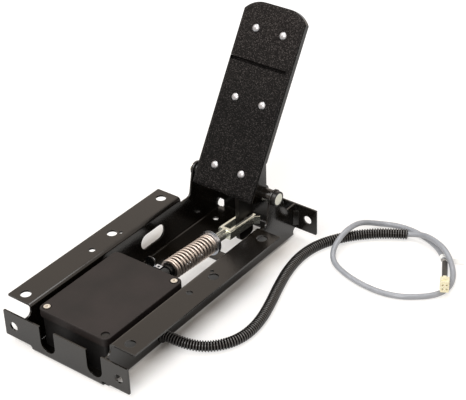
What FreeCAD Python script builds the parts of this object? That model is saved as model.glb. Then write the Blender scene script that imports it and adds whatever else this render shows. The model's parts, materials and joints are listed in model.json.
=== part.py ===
import FreeCAD, Part
import math
import os

V = FreeCAD.Vector

# Axes: X across the tray (right positive), Y to the rear (pedal end), Z up from the tray's underside.

# Tray, folded from one steel sheet
SHEET = 2.0
BEND = 2.0
TRAY_WIDTH = 102.0
TRAY_LENGTH = 316.0
FLANGE_TOP = 48.8
FLANGE_SPAN = 165.0
FLANGE_FRONT = -148.0
FLANGE_REAR = 86.0
FLANGE_CORNER = 1.0
WALL_TOP_FRONT = 36.7
WALL_TOP_REAR = 41.4
WALL_FILLET = 6.0
FRONT_PLATE_SPAN = 162.0
FRONT_EAR_LOW = 6.7
REAR_PLATE_SPAN = 161.0
REAR_EAR_LOW = 10.3
END_BEND_SPAN = 92.0
REAR_RELIEF = ((4.6, 6.0), (3.4, 1.5))
FRONT_RELIEF = ((2.4, 3.0),)
WELD_LEG = 4.2
WELD_LOW = 15.5
WELD_HIGH = 34.0

# Tray holes and cut-outs
FLANGE_HOLE_D = 11.4
FLANGE_HOLE_X = 68.0
FLANGE_HOLE_FRONT = -137.3
FLANGE_HOLE_REAR = 73.2
SIDE_HOLE_D = 7.0
SIDE_HOLE_X = 64.3
SIDE_HOLE_Y = -43.4
ACCESS_HOLE_D = 11.0
ACCESS_HOLE_X = 67.5
ACCESS_HOLE_Y = -8.5
PILOT_HOLE_D = 4.0
PILOT_HOLE_X = 60.7
PILOT_HOLE_Y = -2.0
EAR_HOLE_D = 10.0
FRONT_HOLE_X = 68.6
FRONT_HOLE_Z = 20.5
REAR_HOLE_X = 69.0
REAR_HOLE_Z = 25.7
FRONT_SLOT_WIDTH = 19.0
FRONT_SLOT_LOW = 8.5
FRONT_SLOTS_X = (-23.0, 38.0)
WALL_SLOT_LENGTH = 38.8
WALL_SLOT_HEIGHT = 17.6
WALL_SLOT_Y = 36.9
WALL_SLOT_Z = 24.5
FLOOR_HOLE_D = 6.5
FLOOR_HOLE_X = -38.0
FLOOR_HOLE_Y = 130.0
SPRING_CUTOUT = (-16.0, 32.0, 3.0, 68.0)
LEVER_CUTOUT = (-14.0, 14.5, 82.0, 146.0)
CUTOUT_CORNER = 3.0

# Pedal pivot
PIVOT_Y = 118.5
PIVOT_Z = 69.0
PIN_D = 10.0
RUN_CLEAR = 0.04
FIT_CLEAR = 0.05
EAR_RADIUS = 9.5
EAR_FOOT_FRONT = 103.0
EAR_FOOT_REAR = 139.0
PIN_HEAD_D = 13.0
PIN_HEAD_LENGTH = 3.0
PIN_WASHER_D = 17.0
PIN_WASHER = 1.6
PIN_TAIL = 3.4
PIN_CLIP_D = 14.0
PIN_CLIP_BORE = 8.2
PIN_CLIP = 1.2
PIN_CLIP_MOUTH = 6.0
TUBE_D = 15.0
BUSH_WALL = 1.0
BUSH_LENGTH = 14.0
BUSH_FLANGE = 1.5
BUSH_END_GAP = 0.2

# Pedal, a folded channel with two grip pads
LEAN_DEG = 31.34
FACE_Y = 106.7
FACE_Z = 92.0
PEDAL_WIDTH = 77.8
PEDAL_SHIFT = -0.9
PEDAL_BOTTOM = -26.0
PEDAL_SHOULDER = 169.2
PEDAL_RISE = 11.4
PEDAL_TOP = PEDAL_SHOULDER + PEDAL_RISE
PEDAL_SHOULDER_DEG = 50.0
PEDAL_CROWN = 30.0
PEDAL_CORNER = 1.5
PEDAL_SHEET = 2.5
PEDAL_BEND = 1.0
LIP_DEPTH = 10.2
GUSSET_TOP = 19.0
GUSSET_REAR = 124.0
LOBE_WALL = 2.4
PAD_INSET = 0.2
PAD_THICK = 4.5
PAD_BEVEL = 1.5
PAD_SLOPE = 3.4
PAD_SPLIT = 115.5
PAD_GAP = 3.8
PAD_SEAM = 0.15
GROOVE_DEPTH = 3.6
GROOVE_END = 1.2
RIVET_PITCH = 76.0
RIVET_SPREAD = 35.0
RIVET_SHANK_D = 4.8
RIVET_HEAD_D = 8.8
RIVET_HEAD = 2.2
RIVET_TAIL_D = 7.0
RIVET_TAIL = 1.2

# Lever plate and the push rod that it drives
LEVER_LENGTH = 44.6
LEVER_LEAD_DEG = 7.0
LEVER_THICK = 5.0
LEVER_FRONT = 106.5
LEVER_REAR = 131.0
LEVER_FOOT = 3.5
LEVER_LOBE = 12.5
LEVER_SLOT_LOW = 0.5
LEVER_SLOT_HIGH = 0.65
LEVER_SLOT_CLEAR = 0.2
ROD_X = 11.0
ROD_D = 8.0
ROD_SLOPE_DEG = 4.16

# Stations along the push rod, counted forward from the fork pin
FORK_TIP = 10.0
FORK_SLOT = 34.0
FORK_BODY = 38.0
WASHER_STATION = 61.0
SEAT_STATION = 131.7
ROD_FRONT = 176.0

# Fork head, its pin and clip, nut, washers and springs
FORK_SIDE = 16.0
FORK_HEIGHT = 11.0
FORK_NECK_D = 11.0
FORK_GAP = 9.0
FORK_CHAMFER = 1.2
FORK_PIN_D = 7.0
FORK_PIN_END = 2.6
CLIP_SHEET = 0.9
CLIP_HEIGHT = 9.0
CLIP_HOOK = 5.0
CLIP_TAB = 6.0
CLIP_TAB_DEG = 50.0
STOP_RING_D = 13.0
STOP_RING = 2.0
WASHER_D = 27.0
WASHER = 2.0
OUTER_SPRING_D = 23.0
OUTER_WIRE = 2.5
OUTER_TURNS = 14.5
INNER_SPRING_D = 17.4
INNER_WIRE = 1.3
INNER_TURNS = 18.5
SPRING_STEPS = 12
WIRE_SIDES = 6
END_TURNS = 1.0

# Spring bracket, guide bush and plug
BRACKET_SHEET = 2.5
BRACKET_LEFT = -21.0
BRACKET_RIGHT = 25.0
BRACKET_TOP = 32.4
BRACKET_FOOT = 15.0
BRACKET_RIGHT_TOP = 29.0
BRACKET_LOBE = 3.6
BRACKET_TAB = (-3.6, 3.7)
BRACKET_TAB_TOP = 37.0
BRACKET_TAB_FRONT = -17.0
BRACKET_HOLE_D = 3.0
BRACKET_HOLE_X = 0.4
BRACKET_HOLE_Y = -14.6
BRACKET_SCREW_D = 5.0
BRACKET_SCREW_X = 14.0
BRACKET_SCREW_Y = 6.0
GUIDE_SHANK_D = 14.0
GUIDE_SHANK = 12.0
GUIDE_NECK_D = 12.0
GUIDE_LIP = 1.5
PLUG_X = -11.2
PLUG_Z = 37.9
PLUG_HEAD_D = 12.0
PLUG_HEAD = 1.6
PLUG_RECESS_D = 10.0
PLUG_SHANK_D = 5.0

# Sensor housing and its lid
LID_WIDTH = 90.0
LID_FRONT = -145.8
LID_REAR = -28.0
LID_TOP = 47.0
LID_SKIRT_LOW = 38.0
LID_PLATE = 3.5
LID_SKIRT = 2.3
LID_CORNER = 6.5
LID_EDGE = 1.2
LID_GAP = 0.2
GASKET = 0.9
HOUSING_WALL = 3.0
HOUSING_FLOOR = 3.0
LID_SCREW_INSET = 7.0
LID_SCREW_D = 4.0
LID_SCREW_LENGTH = 14.0
LID_SCREW_HEAD_D = 7.0
LID_SCREW_HEAD = 2.6
LID_SOCKET = 3.0
COUNTERBORE_D = 9.0
COUNTERBORE = 2.2
POST_D = 8.6
POST_LENGTH = 20.0
FLOOR_SCREW_D = 4.0
FLOOR_SCREW_HEAD_D = 8.0
FLOOR_SCREW_LENGTH = 8.0
FLOOR_SCREW_X = 26.0
FLOOR_SCREW_INSET = 22.0
FLOOR_BOSS_D = 9.0
FLOOR_BOSS = 6.0

# Sensor inside the housing
BOARD_WIDTH = 56.0
BOARD_LENGTH = 62.0
BOARD = 1.6
BOARD_TOP = 25.6
BOARD_REAR = -40.0
BOARD_BOSS_D = 6.0
BOARD_SCREW_D = 2.5
BOARD_SCREW_INSET = 5.0
BOARD_SCREW_HEAD_D = 4.6
BOARD_SCREW_HEAD = 1.8
BOARD_SCREW_LENGTH = 7.0
CHIP_SIZE = (7.0, 6.0, 2.0)
HOLDER_STATION = 160.0
HOLDER_WIDTH = 12.0
HOLDER_UP = 4.6
HOLDER_DOWN = 7.5
MAGNET_D = 7.0
MAGNET = 2.6
SEAL_D = 11.0
SEAL_PROUD = 2.0
SEAL_REACH = 14.5
SKIRT_NOTCH = 0.6

# Cable exit
EXIT_Y = -72.5
EXIT_Z = 10.0
CONDUIT_D = 11.6
GLAND_D = 14.0
GLAND_FLANGE = 4.0
GLAND_SHANK_D = 5.6
GLAND_NUT_ACROSS = 8.4
GLAND_NUT = 3.0
GROMMET_WALL = 0.8
GROMMET_LIP_D = 16.4
GROMMET_LIP = 1.5

# Conduit and cable routes, chosen by hand
CABLE_D = 6.0
ARC_SHARE = 0.45
CONDUIT_ROUTE = [
    (62.0, -72.5, 10.0), (80.0, -68.0, 7.2), (95.0, -60.0, 5.8), (106.5, -48.5, 5.8),
    (114.0, -34.0, 5.8), (117.0, -16.0, 5.8), (114.5, 7.0, 5.8), (107.0, 33.0, 5.8),
    (97.5, 60.0, 5.8), (88.5, 90.0, 5.8), (84.5, 121.0, 5.8), (88.5, 148.0, 5.8),
    (101.0, 172.5, 5.8), (119.5, 194.0, 5.8), (140.5, 210.5, 5.8), (158.0, 220.0, 5.8),
]
CABLE_ROUTE = [
    (158.0, 220.0, 5.8), (167.5, 223.6, 7.4), (180.0, 222.5, 10.8), (194.5, 217.5, 12.2),
    (208.5, 211.0, 12.0), (221.0, 202.0, 8.2), (232.0, 189.5, 4.6), (239.3, 174.5, 3.0),
    (241.0, 158.0, 3.0), (235.3, 143.7, 3.0), (223.0, 131.9, 3.0), (206.5, 120.9, 3.0),
    (184.5, 115.7, 3.0), (158.8, 117.7, 3.0), (136.8, 123.5, 3.2), (117.5, 132.6, 4.4),
    (109.0, 146.5, 10.2), (108.2, 168.0, 18.0), (110.2, 190.5, 18.0), (112.3, 208.5, 10.4),
    (120.5, 222.0, 4.4), (136.5, 231.2, 3.0), (155.0, 233.2, 3.0), (172.5, 230.0, 3.0),
    (188.5, 223.8, 3.0), (203.0, 214.6, 3.0), (212.8, 203.6, 3.1),
]

# Cable end: bared shield, wrapped wires, blank flag and plug
SHIELD_D = 5.0
SHIELD = 4.5
SLEEVE_D = 6.0
SLEEVE_END = (238.2, 158.9, 12.5)
SLEEVE_GAP = 0.9
PLUG_FRONT = (244.8, 147.0, 15.2)
PLUG_SIDE = 9.6
PLUG_HEIGHT = 12.4
PLUG_LENGTH = 13.0
PLUG_STEP = 4.0
PLUG_NOSE_INSET = 0.5
CONTACT_PITCH = 4.2
CONTACT_D = 1.8
CONTACT_DEPTH = 3.0
LATCH = (3.6, 8.0, 1.4)
FLAG_WALL = 0.4
FLAG_LENGTH = 23.0
FLAG_WIDTH = 9.0
FLAG_WRAP = 6.0
FLAG_TURN_DEG = 24.0

WALL_IN = TRAY_WIDTH / 2
WALL_OUT = WALL_IN + SHEET
END_OUT = TRAY_LENGTH / 2
END_IN = END_OUT - SHEET
PIN_RADIUS = PIN_D / 2
ROD_RADIUS = ROD_D / 2


# Shape helpers
def across(y, z):
    return lambda p: V(p.x, y, p.y + z)


def side(x):
    return lambda p: V(x, p.x, p.y)


def plan(z):
    return lambda p: V(p.x, p.y, z)


def profile(corners, place):
    """Face from (u, v, corner radius) points; place turns u, v into a point in space."""
    spans = []
    for i, (u, v, radius) in enumerate(corners):
        here = V(u, v, 0)
        before = corners[i - 1]
        after = corners[(i + 1) % len(corners)]
        back = (V(before[0], before[1], 0) - here).normalize()
        ahead = (V(after[0], after[1], 0) - here).normalize()
        if radius == 0:
            spans.append((here, None, here))
            continue
        half = back.getAngle(ahead) / 2
        reach = radius / math.tan(half)
        middle = here + (back + ahead).normalize() * (radius / math.sin(half) - radius)
        spans.append((here + back * reach, middle, here + ahead * reach))
    edges = []
    for i, (start, middle, end) in enumerate(spans):
        if middle is not None:
            edges.append(Part.Arc(place(start), place(middle), place(end)).toShape())
        following = spans[(i + 1) % len(spans)][0]
        if end.distanceToPoint(following) > 1e-6:
            edges.append(Part.LineSegment(place(end), place(following)).toShape())
    return Part.Face(Part.Wire(edges))


def rectangle(x0, x1, y0, y1, radius):
    return [(x0, y0, radius), (x1, y0, radius), (x1, y1, radius), (x0, y1, radius)]


def block(x0, x1, y0, y1, z0, z1, radius=0):
    return profile(rectangle(x0, x1, y0, y1, radius), plan(z0)).extrude(V(0, 0, z1 - z0))


def upright(x, y, z0, z1, diameter):
    return Part.makeCylinder(diameter / 2, z1 - z0, V(x, y, z0))


def rod_along(start, direction, length, diameter):
    return Part.makeCylinder(diameter / 2, length, start, direction)


def ring_along(start, direction, length, outer, inner):
    bore = rod_along(start - direction, direction, length + 2 * direction.Length, inner)
    return rod_along(start, direction, length, outer).cut(bore)


def hexagon(start, across_flats, length):
    corner = across_flats / 2 / math.cos(math.pi / 6)
    turns = [math.radians(60 * i) for i in range(6)]
    points = [(corner * math.cos(a), corner * math.sin(a), 0) for a in turns]
    return profile(points, plan(start)).extrude(V(0, 0, length))


def fused(shapes):
    return shapes[0].multiFuse(shapes[1:]).removeSplitter()


def mirrored(shape):
    return shape.mirror(V(0, 0, 0), V(1, 0, 0))


# Pedal face frame: s runs up the face, d goes back from it
LEAN = math.radians(LEAN_DEG)
UP_FACE = V(0, math.sin(LEAN), math.cos(LEAN))
BEHIND_FACE = V(0, math.cos(LEAN), -math.sin(LEAN))


def face_point(x, s, d):
    return V(x, FACE_Y, FACE_Z) + UP_FACE * s + BEHIND_FACE * d


def on_face(d):
    return lambda p: face_point(p.x, p.y, d)


# Push rod frame: local Z runs forward along the rod from the fork pin, local Y up
SLOPE = math.radians(ROD_SLOPE_DEG)
LEAD = math.radians(LEVER_LEAD_DEG)
ROD_FORWARD = V(0, -math.cos(SLOPE), math.sin(SLOPE))
ROD_UP = V(0, math.sin(SLOPE), math.cos(SLOPE))
FORK_PIN = V(ROD_X, PIVOT_Y, PIVOT_Z) - ROD_UP * (LEVER_LENGTH * math.cos(LEAD)) \
    - ROD_FORWARD * (LEVER_LENGTH * math.sin(LEAD))
ROD_FRAME = FreeCAD.Placement(FORK_PIN, FreeCAD.Rotation(V(1, 0, 0), ROD_UP, ROD_FORWARD, "ZXY"))


def on_rod(shape):
    placed = shape.copy()
    placed.Placement = ROD_FRAME
    return placed


def rod_point(station):
    return FORK_PIN + ROD_FORWARD * station


# Tray
def tray_ear_side():
    """Points where the two edges of a pivot ear touch its round top."""
    centre = V(PIVOT_Y, PIVOT_Z, 0)
    points = []
    for foot, turn in ((EAR_FOOT_FRONT, 1), (EAR_FOOT_REAR, -1)):
        start = V(foot, WALL_TOP_REAR, 0)
        reach = centre - start
        swing = turn * math.asin(EAR_RADIUS / reach.Length)
        length = math.sqrt(reach.Length ** 2 - EAR_RADIUS ** 2)
        angle = math.atan2(reach.y, reach.x) + swing
        points.append((start.x + length * math.cos(angle), start.y + length * math.sin(angle), 0))
    return points


def tray_trough():
    """Floor, side walls and pivot ears."""
    bend_out = BEND + SHEET
    high = PIVOT_Z + EAR_RADIUS
    section = [
        (-WALL_OUT, high, 0), (-WALL_IN, high, 0), (-WALL_IN, SHEET, BEND), (WALL_IN, SHEET, BEND),
        (WALL_IN, high, 0), (WALL_OUT, high, 0), (WALL_OUT, 0, bend_out), (-WALL_OUT, 0, bend_out),
    ]
    trough = profile(section, across(-END_IN, 0)).extrude(V(0, 2 * END_IN, 0))
    bend_low = FLANGE_TOP - bend_out
    floor_end = END_OUT - bend_out
    touch_front, touch_rear = tray_ear_side()
    outline = [
        (-floor_end, -1, 0), (-floor_end, bend_out, 0), (-END_IN, bend_out, 0),
        (-END_IN, WALL_TOP_FRONT, 0), (FLANGE_FRONT, WALL_TOP_FRONT, WALL_FILLET),
        (FLANGE_FRONT, bend_low, 0),
        (FLANGE_REAR, bend_low, 0), (FLANGE_REAR, WALL_TOP_REAR, 0),
        (EAR_FOOT_FRONT, WALL_TOP_REAR, WALL_FILLET), touch_front, touch_rear,
        (EAR_FOOT_REAR, WALL_TOP_REAR, WALL_FILLET), (END_IN, WALL_TOP_REAR, 0),
        (END_IN, bend_out, 0), (floor_end, bend_out, 0), (floor_end, -1, 0),
    ]
    span = V(2 * WALL_OUT, 0, 0)
    keep = profile(outline, side(-WALL_OUT)).extrude(span)
    crown = rod_along(V(-WALL_OUT, PIVOT_Y, PIVOT_Z), V(1, 0, 0), 2 * WALL_OUT, 2 * EAR_RADIUS)
    return trough.common(keep.fuse(crown))


def tray_flange():
    """Right-hand mounting flange with its bend."""
    low = FLANGE_TOP - SHEET
    edge = FLANGE_SPAN / 2
    root = FLANGE_TOP - BEND - SHEET
    section = [
        (WALL_IN, root, 0), (WALL_IN, FLANGE_TOP, BEND + SHEET), (edge, FLANGE_TOP, 0),
        (edge, low, 0), (WALL_OUT, low, BEND), (WALL_OUT, root, 0),
    ]
    length = FLANGE_REAR - FLANGE_FRONT
    strip = profile(section, across(FLANGE_FRONT, 0)).extrude(V(0, length, 0))
    corners = [
        (0, FLANGE_FRONT, 0), (edge, FLANGE_FRONT, FLANGE_CORNER),
        (edge, FLANGE_REAR, FLANGE_CORNER), (0, FLANGE_REAR, 0),
    ]
    flange = strip.common(profile(corners, plan(0)).extrude(V(0, 0, FLANGE_TOP + SHEET)))
    holes = [
        upright(FLANGE_HOLE_X, FLANGE_HOLE_FRONT, 0, FLANGE_TOP + SHEET, FLANGE_HOLE_D),
        upright(FLANGE_HOLE_X, FLANGE_HOLE_REAR, 0, FLANGE_TOP + SHEET, FLANGE_HOLE_D),
        upright(SIDE_HOLE_X, SIDE_HOLE_Y, 0, FLANGE_TOP + SHEET, SIDE_HOLE_D),
        upright(ACCESS_HOLE_X, ACCESS_HOLE_Y, 0, FLANGE_TOP + SHEET, ACCESS_HOLE_D),
        upright(PILOT_HOLE_X, PILOT_HOLE_Y, 0, FLANGE_TOP + SHEET, PILOT_HOLE_D),
    ]
    return flange.cut(holes)


def end_plate(front, span, ear_low, top, hole_x, hole_z):
    """Plate bent up from the floor, with an ear each side that passes the walls."""
    sign = -1 if front else 1
    bend_out = BEND + SHEET
    section = [
        (sign * END_OUT, top, 0), (sign * END_IN, top, 0), (sign * END_IN, SHEET, BEND),
        (sign * (END_OUT - bend_out), SHEET, 0), (sign * (END_OUT - bend_out), 0, 0),
        (sign * END_OUT, 0, bend_out),
    ]
    half = span / 2
    strip = profile(section, side(-half)).extrude(V(span, 0, 0))
    bend_half = END_BEND_SPAN / 2
    outline = [
        (-half, ear_low, FLANGE_CORNER), (-bend_half, ear_low, 0), (-bend_half, -1, 0),
        (bend_half, -1, 0), (bend_half, ear_low, 0), (half, ear_low, FLANGE_CORNER),
        (half, top, FLANGE_CORNER), (-half, top, FLANGE_CORNER),
    ]
    keep = profile(outline, across(-END_OUT, 0)).extrude(V(0, TRAY_LENGTH, 0))
    holes = [
        rod_along(V(x, -END_OUT, hole_z), V(0, 1, 0), TRAY_LENGTH, EAR_HOLE_D) for x in (-hole_x, hole_x)
    ]
    return strip.common(keep).cut(holes)


def front_slot(x):
    half = FRONT_SLOT_WIDTH / 2
    low = FRONT_SLOT_LOW + half
    mouth = block(x - half, x + half, -END_OUT - 1, -END_IN + 1, low, WALL_TOP_FRONT + 1)
    base = rod_along(V(x, -END_OUT - 1, low), V(0, 1, 0), SHEET + 2, FRONT_SLOT_WIDTH)
    return mouth.fuse(base)


def wall_slot():
    half = (WALL_SLOT_LENGTH - WALL_SLOT_HEIGHT) / 2
    start = -WALL_OUT - 1
    low = WALL_SLOT_Z - WALL_SLOT_HEIGHT / 2
    high = WALL_SLOT_Z + WALL_SLOT_HEIGHT / 2
    middle = block(start, start + SHEET + 2, WALL_SLOT_Y - half, WALL_SLOT_Y + half, low, high)
    ends = [
        rod_along(V(start, y, WALL_SLOT_Z), V(1, 0, 0), SHEET + 2, WALL_SLOT_HEIGHT)
        for y in (WALL_SLOT_Y - half, WALL_SLOT_Y + half)
    ]
    return middle.multiFuse(ends)


def weld_bead(sign_y):
    corner = [(WALL_OUT, sign_y * END_IN, 0), (WALL_OUT + WELD_LEG, sign_y * END_IN, 0),
              (WALL_OUT, sign_y * (END_IN - WELD_LEG), 0)]
    return profile(corner, plan(WELD_LOW)).extrude(V(0, 0, WELD_HIGH - WELD_LOW))


def floor_screw_spots():
    """Places where the housing is screwed down through the floor."""
    front = LID_FRONT + FLOOR_SCREW_INSET
    rear = LID_REAR - FLOOR_SCREW_INSET
    return [(x, y) for x in (-FLOOR_SCREW_X, FLOOR_SCREW_X) for y in (front, rear)]


def bracket_front():
    """Front edge of the bracket's foot."""
    return rod_point(SEAT_STATION + BRACKET_SHEET).y - BRACKET_FOOT


def bracket_screw_spots():
    y = bracket_front() + BRACKET_SCREW_Y
    return [(ROD_X - BRACKET_SCREW_X, y), (ROD_X + BRACKET_SCREW_X - BEND, y)]


def countersink(x, y, shank, head, clearance):
    depth = (head - shank) / 2
    cone = Part.makeCone(head / 2 + clearance, shank / 2 + clearance, depth, V(x, y, 0))
    return cone.fuse(upright(x, y, 0, SHEET + 1, shank + 2 * clearance))


def base_tray():
    plates = [
        end_plate(True, FRONT_PLATE_SPAN, FRONT_EAR_LOW, WALL_TOP_FRONT, FRONT_HOLE_X, FRONT_HOLE_Z),
        end_plate(False, REAR_PLATE_SPAN, REAR_EAR_LOW, WALL_TOP_REAR, REAR_HOLE_X, REAR_HOLE_Z),
    ]
    flange = tray_flange()
    beads = [weld_bead(-1), weld_bead(1)]
    halves = [flange] + beads
    tray = fused([tray_trough()] + plates + halves + [mirrored(half) for half in halves])
    cuts = [front_slot(x) for x in FRONT_SLOTS_X]
    cuts.append(wall_slot())
    for x0, x1, y0, y1 in (SPRING_CUTOUT, LEVER_CUTOUT):
        cuts.append(block(x0, x1, y0, y1, -1, SHEET + 1, CUTOUT_CORNER))
    cuts.append(upright(FLOOR_HOLE_X, FLOOR_HOLE_Y, -1, SHEET + 1, FLOOR_HOLE_D))
    for x in (-WALL_IN, WALL_IN):
        for y, reliefs in ((-END_IN, FRONT_RELIEF), (END_IN, REAR_RELIEF)):
            cuts.extend(Part.makeSphere(radius, V(x, y, z)) for radius, z in reliefs)
    pin_hole = PIN_D + 2 * FIT_CLEAR
    cuts.append(rod_along(V(-WALL_OUT - 1, PIVOT_Y, PIVOT_Z), V(1, 0, 0), 2 * WALL_OUT + 2, pin_hole))
    cuts.append(rod_along(V(WALL_IN - 1, EXIT_Y, EXIT_Z), V(1, 0, 0), SHEET + 2, grommet_hole()))
    for x, y in floor_screw_spots():
        cuts.append(countersink(x, y, FLOOR_SCREW_D, FLOOR_SCREW_HEAD_D, FIT_CLEAR))
    for x, y in bracket_screw_spots():
        cuts.append(countersink(x, y, BRACKET_SCREW_D, BRACKET_SCREW_D + 2 * SHEET, FIT_CLEAR))
    return tray.cut(cuts).removeSplitter()


# Sensor housing
BODY_WIDTH = LID_WIDTH - 2 * (LID_SKIRT + LID_GAP)
BODY_FRONT = LID_FRONT + LID_SKIRT + LID_GAP
BODY_REAR = LID_REAR - LID_SKIRT - LID_GAP
BODY_CORNER = LID_CORNER - LID_SKIRT - LID_GAP
BODY_TOP = LID_TOP - LID_PLATE - GASKET
LID_SCREW_X = LID_WIDTH / 2 - LID_SCREW_INSET
LID_SCREW_FRONT = LID_FRONT + LID_SCREW_INSET
LID_SCREW_REAR = LID_REAR - LID_SCREW_INSET
SCREW_CORNERS = [(-LID_SCREW_X, LID_SCREW_FRONT), (LID_SCREW_X, LID_SCREW_REAR)]
PLUG_CORNER = (LID_SCREW_X, LID_SCREW_FRONT)
OPEN_CORNERS = SCREW_CORNERS + [PLUG_CORNER]


def grommet_hole():
    return CONDUIT_D + 2 * (GROMMET_WALL + FIT_CLEAR)


def body_outline(inset):
    half = BODY_WIDTH / 2 - inset
    return rectangle(-half, half, BODY_FRONT + inset, BODY_REAR - inset, max(BODY_CORNER - inset, 1.0))


def board_screw_spots():
    x = BOARD_WIDTH / 2 - BOARD_SCREW_INSET
    front = BOARD_REAR - BOARD_LENGTH + BOARD_SCREW_INSET
    return [(sx, y) for sx in (-x, x) for y in (front, BOARD_REAR - BOARD_SCREW_INSET)]


def sensor_housing():
    floor = SHEET + HOUSING_FLOOR
    shell = profile(body_outline(0), plan(SHEET)).extrude(V(0, 0, BODY_TOP - SHEET))
    cavity = profile(body_outline(HOUSING_WALL), plan(floor)).extrude(V(0, 0, BODY_TOP))
    solids = [shell.cut(cavity)]
    board_low = BOARD_TOP - BOARD
    for x, y in OPEN_CORNERS:
        solids.append(upright(x, y, BODY_TOP - POST_LENGTH, BODY_TOP, POST_D))
    for x, y in floor_screw_spots():
        solids.append(upright(x, y, SHEET, floor + FLOOR_BOSS, FLOOR_BOSS_D))
    for x, y in board_screw_spots():
        solids.append(upright(x, y, SHEET, board_low, BOARD_BOSS_D))
    cuts = []
    for x, y in OPEN_CORNERS:
        low = LID_TOP - COUNTERBORE - LID_SCREW_LENGTH
        cuts.append(upright(x, y, low, BODY_TOP + 1, LID_SCREW_D + 2 * FIT_CLEAR))
    for x, y in floor_screw_spots():
        cuts.append(upright(x, y, 0, FLOOR_SCREW_LENGTH + 1, FLOOR_SCREW_D + 2 * FIT_CLEAR))
    for x, y in board_screw_spots():
        low = BOARD_TOP - BOARD_SCREW_LENGTH
        cuts.append(upright(x, y, low, BOARD_TOP, BOARD_SCREW_D + 2 * FIT_CLEAR))
    seal_hole = Part.makeCylinder((SEAL_D + 2 * FIT_CLEAR) / 2, seal_length(), V(0, 0, seal_station()))
    cuts.append(on_rod(seal_hole))
    gland_hole = GLAND_SHANK_D + 2 * FIT_CLEAR
    cuts.append(rod_along(V(0, EXIT_Y, EXIT_Z), V(1, 0, 0), BODY_WIDTH, gland_hole))
    return fused(solids).cut(cuts).removeSplitter()


def lid_outline(inset):
    half = LID_WIDTH / 2 - inset
    return rectangle(-half, half, LID_FRONT + inset, LID_REAR - inset, max(LID_CORNER - inset, 1.0))


def housing_lid():
    height = LID_TOP - LID_SKIRT_LOW
    shell = profile(lid_outline(0), plan(LID_SKIRT_LOW)).extrude(V(0, 0, height))
    rim = [e for e in shell.Edges if all(abs(v.Z - LID_TOP) < 1e-6 for v in e.Vertexes)]
    shell = shell.makeFillet(LID_EDGE, rim)
    hollow = profile(lid_outline(LID_SKIRT), plan(LID_SKIRT_LOW)).extrude(V(0, 0, height - LID_PLATE))
    notch = SEAL_D / 2 + SKIRT_NOTCH
    holes = [hollow, on_rod(Part.makeCylinder(notch, seal_length(), V(0, 0, seal_station() - SEAL_PROUD)))]
    for x, y in OPEN_CORNERS:
        holes.append(upright(x, y, LID_TOP - COUNTERBORE, LID_TOP + 1, COUNTERBORE_D))
        holes.append(upright(x, y, BODY_TOP, LID_TOP, LID_SCREW_D + 2 * FIT_CLEAR))
    return shell.cut(holes)


def lid_gasket():
    top = BODY_TOP + GASKET
    outer = profile(body_outline(LID_GAP), plan(BODY_TOP)).extrude(V(0, 0, GASKET))
    inner = profile(body_outline(HOUSING_WALL), plan(BODY_TOP)).extrude(V(0, 0, GASKET))
    tabs = [upright(x, y, BODY_TOP, top, POST_D).common(outer) for x, y in OPEN_CORNERS]
    holes = [upright(x, y, BODY_TOP, top, LID_SCREW_D + 2 * FIT_CLEAR) for x, y in OPEN_CORNERS]
    return fused([outer.cut(inner)] + tabs).cut(holes)


def lid_screw(x, y):
    seat = LID_TOP - COUNTERBORE
    head = upright(x, y, seat, seat + LID_SCREW_HEAD, LID_SCREW_HEAD_D)
    socket = hexagon(seat + LID_SCREW_HEAD / 2, LID_SOCKET, LID_SCREW_HEAD)
    socket.translate(V(x, y, 0))
    shank = upright(x, y, seat - LID_SCREW_LENGTH, seat, LID_SCREW_D)
    return head.cut(socket).fuse(shank).removeSplitter()


def lid_plug():
    x, y = PLUG_CORNER
    seat = LID_TOP - COUNTERBORE
    cap = upright(x, y, seat, seat + COUNTERBORE / 2, COUNTERBORE_D - 2 * FIT_CLEAR)
    return cap.fuse(upright(x, y, seat - LID_SCREW_LENGTH / 2, seat, LID_SCREW_D)).removeSplitter()


def floor_screw(x, y):
    depth = (FLOOR_SCREW_HEAD_D - FLOOR_SCREW_D) / 2
    head = Part.makeCone(FLOOR_SCREW_HEAD_D / 2, FLOOR_SCREW_D / 2, depth, V(x, y, 0))
    return head.fuse(upright(x, y, depth, FLOOR_SCREW_LENGTH, FLOOR_SCREW_D)).removeSplitter()


def sensor_board():
    half = BOARD_WIDTH / 2
    low = BOARD_TOP - BOARD
    board = block(-half, half, BOARD_REAR - BOARD_LENGTH, BOARD_REAR, low, BOARD_TOP, 2.0)
    holes = [
        upright(x, y, low - 1, BOARD_TOP + 1, BOARD_SCREW_D + 2 * FIT_CLEAR) for x, y in board_screw_spots()
    ]
    return board.cut(holes)


def board_screw(x, y):
    head = upright(x, y, BOARD_TOP, BOARD_TOP + BOARD_SCREW_HEAD, BOARD_SCREW_HEAD_D)
    shank = upright(x, y, BOARD_TOP - BOARD_SCREW_LENGTH, BOARD_TOP, BOARD_SCREW_D)
    return head.fuse(shank).removeSplitter()


def hall_sensor():
    wide, long, high = CHIP_SIZE
    y = rod_point(HOLDER_STATION).y - long
    return block(ROD_X - wide / 2, ROD_X + wide / 2, y - long / 2, y + long / 2, BOARD_TOP, BOARD_TOP + high)


def seal_station():
    """Outer end of the seal, which covers the rod up to the guide bush."""
    return (FORK_PIN.y - BODY_REAR) / math.cos(SLOPE) - SEAL_REACH


def seal_length():
    return HOUSING_WALL / math.cos(SLOPE) + SEAL_REACH + SEAL_PROUD


def rod_seal():
    bore = ROD_D + 2 * RUN_CLEAR
    return on_rod(ring_along(V(0, 0, seal_station()), V(0, 0, 1), seal_length(), SEAL_D, bore))


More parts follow.
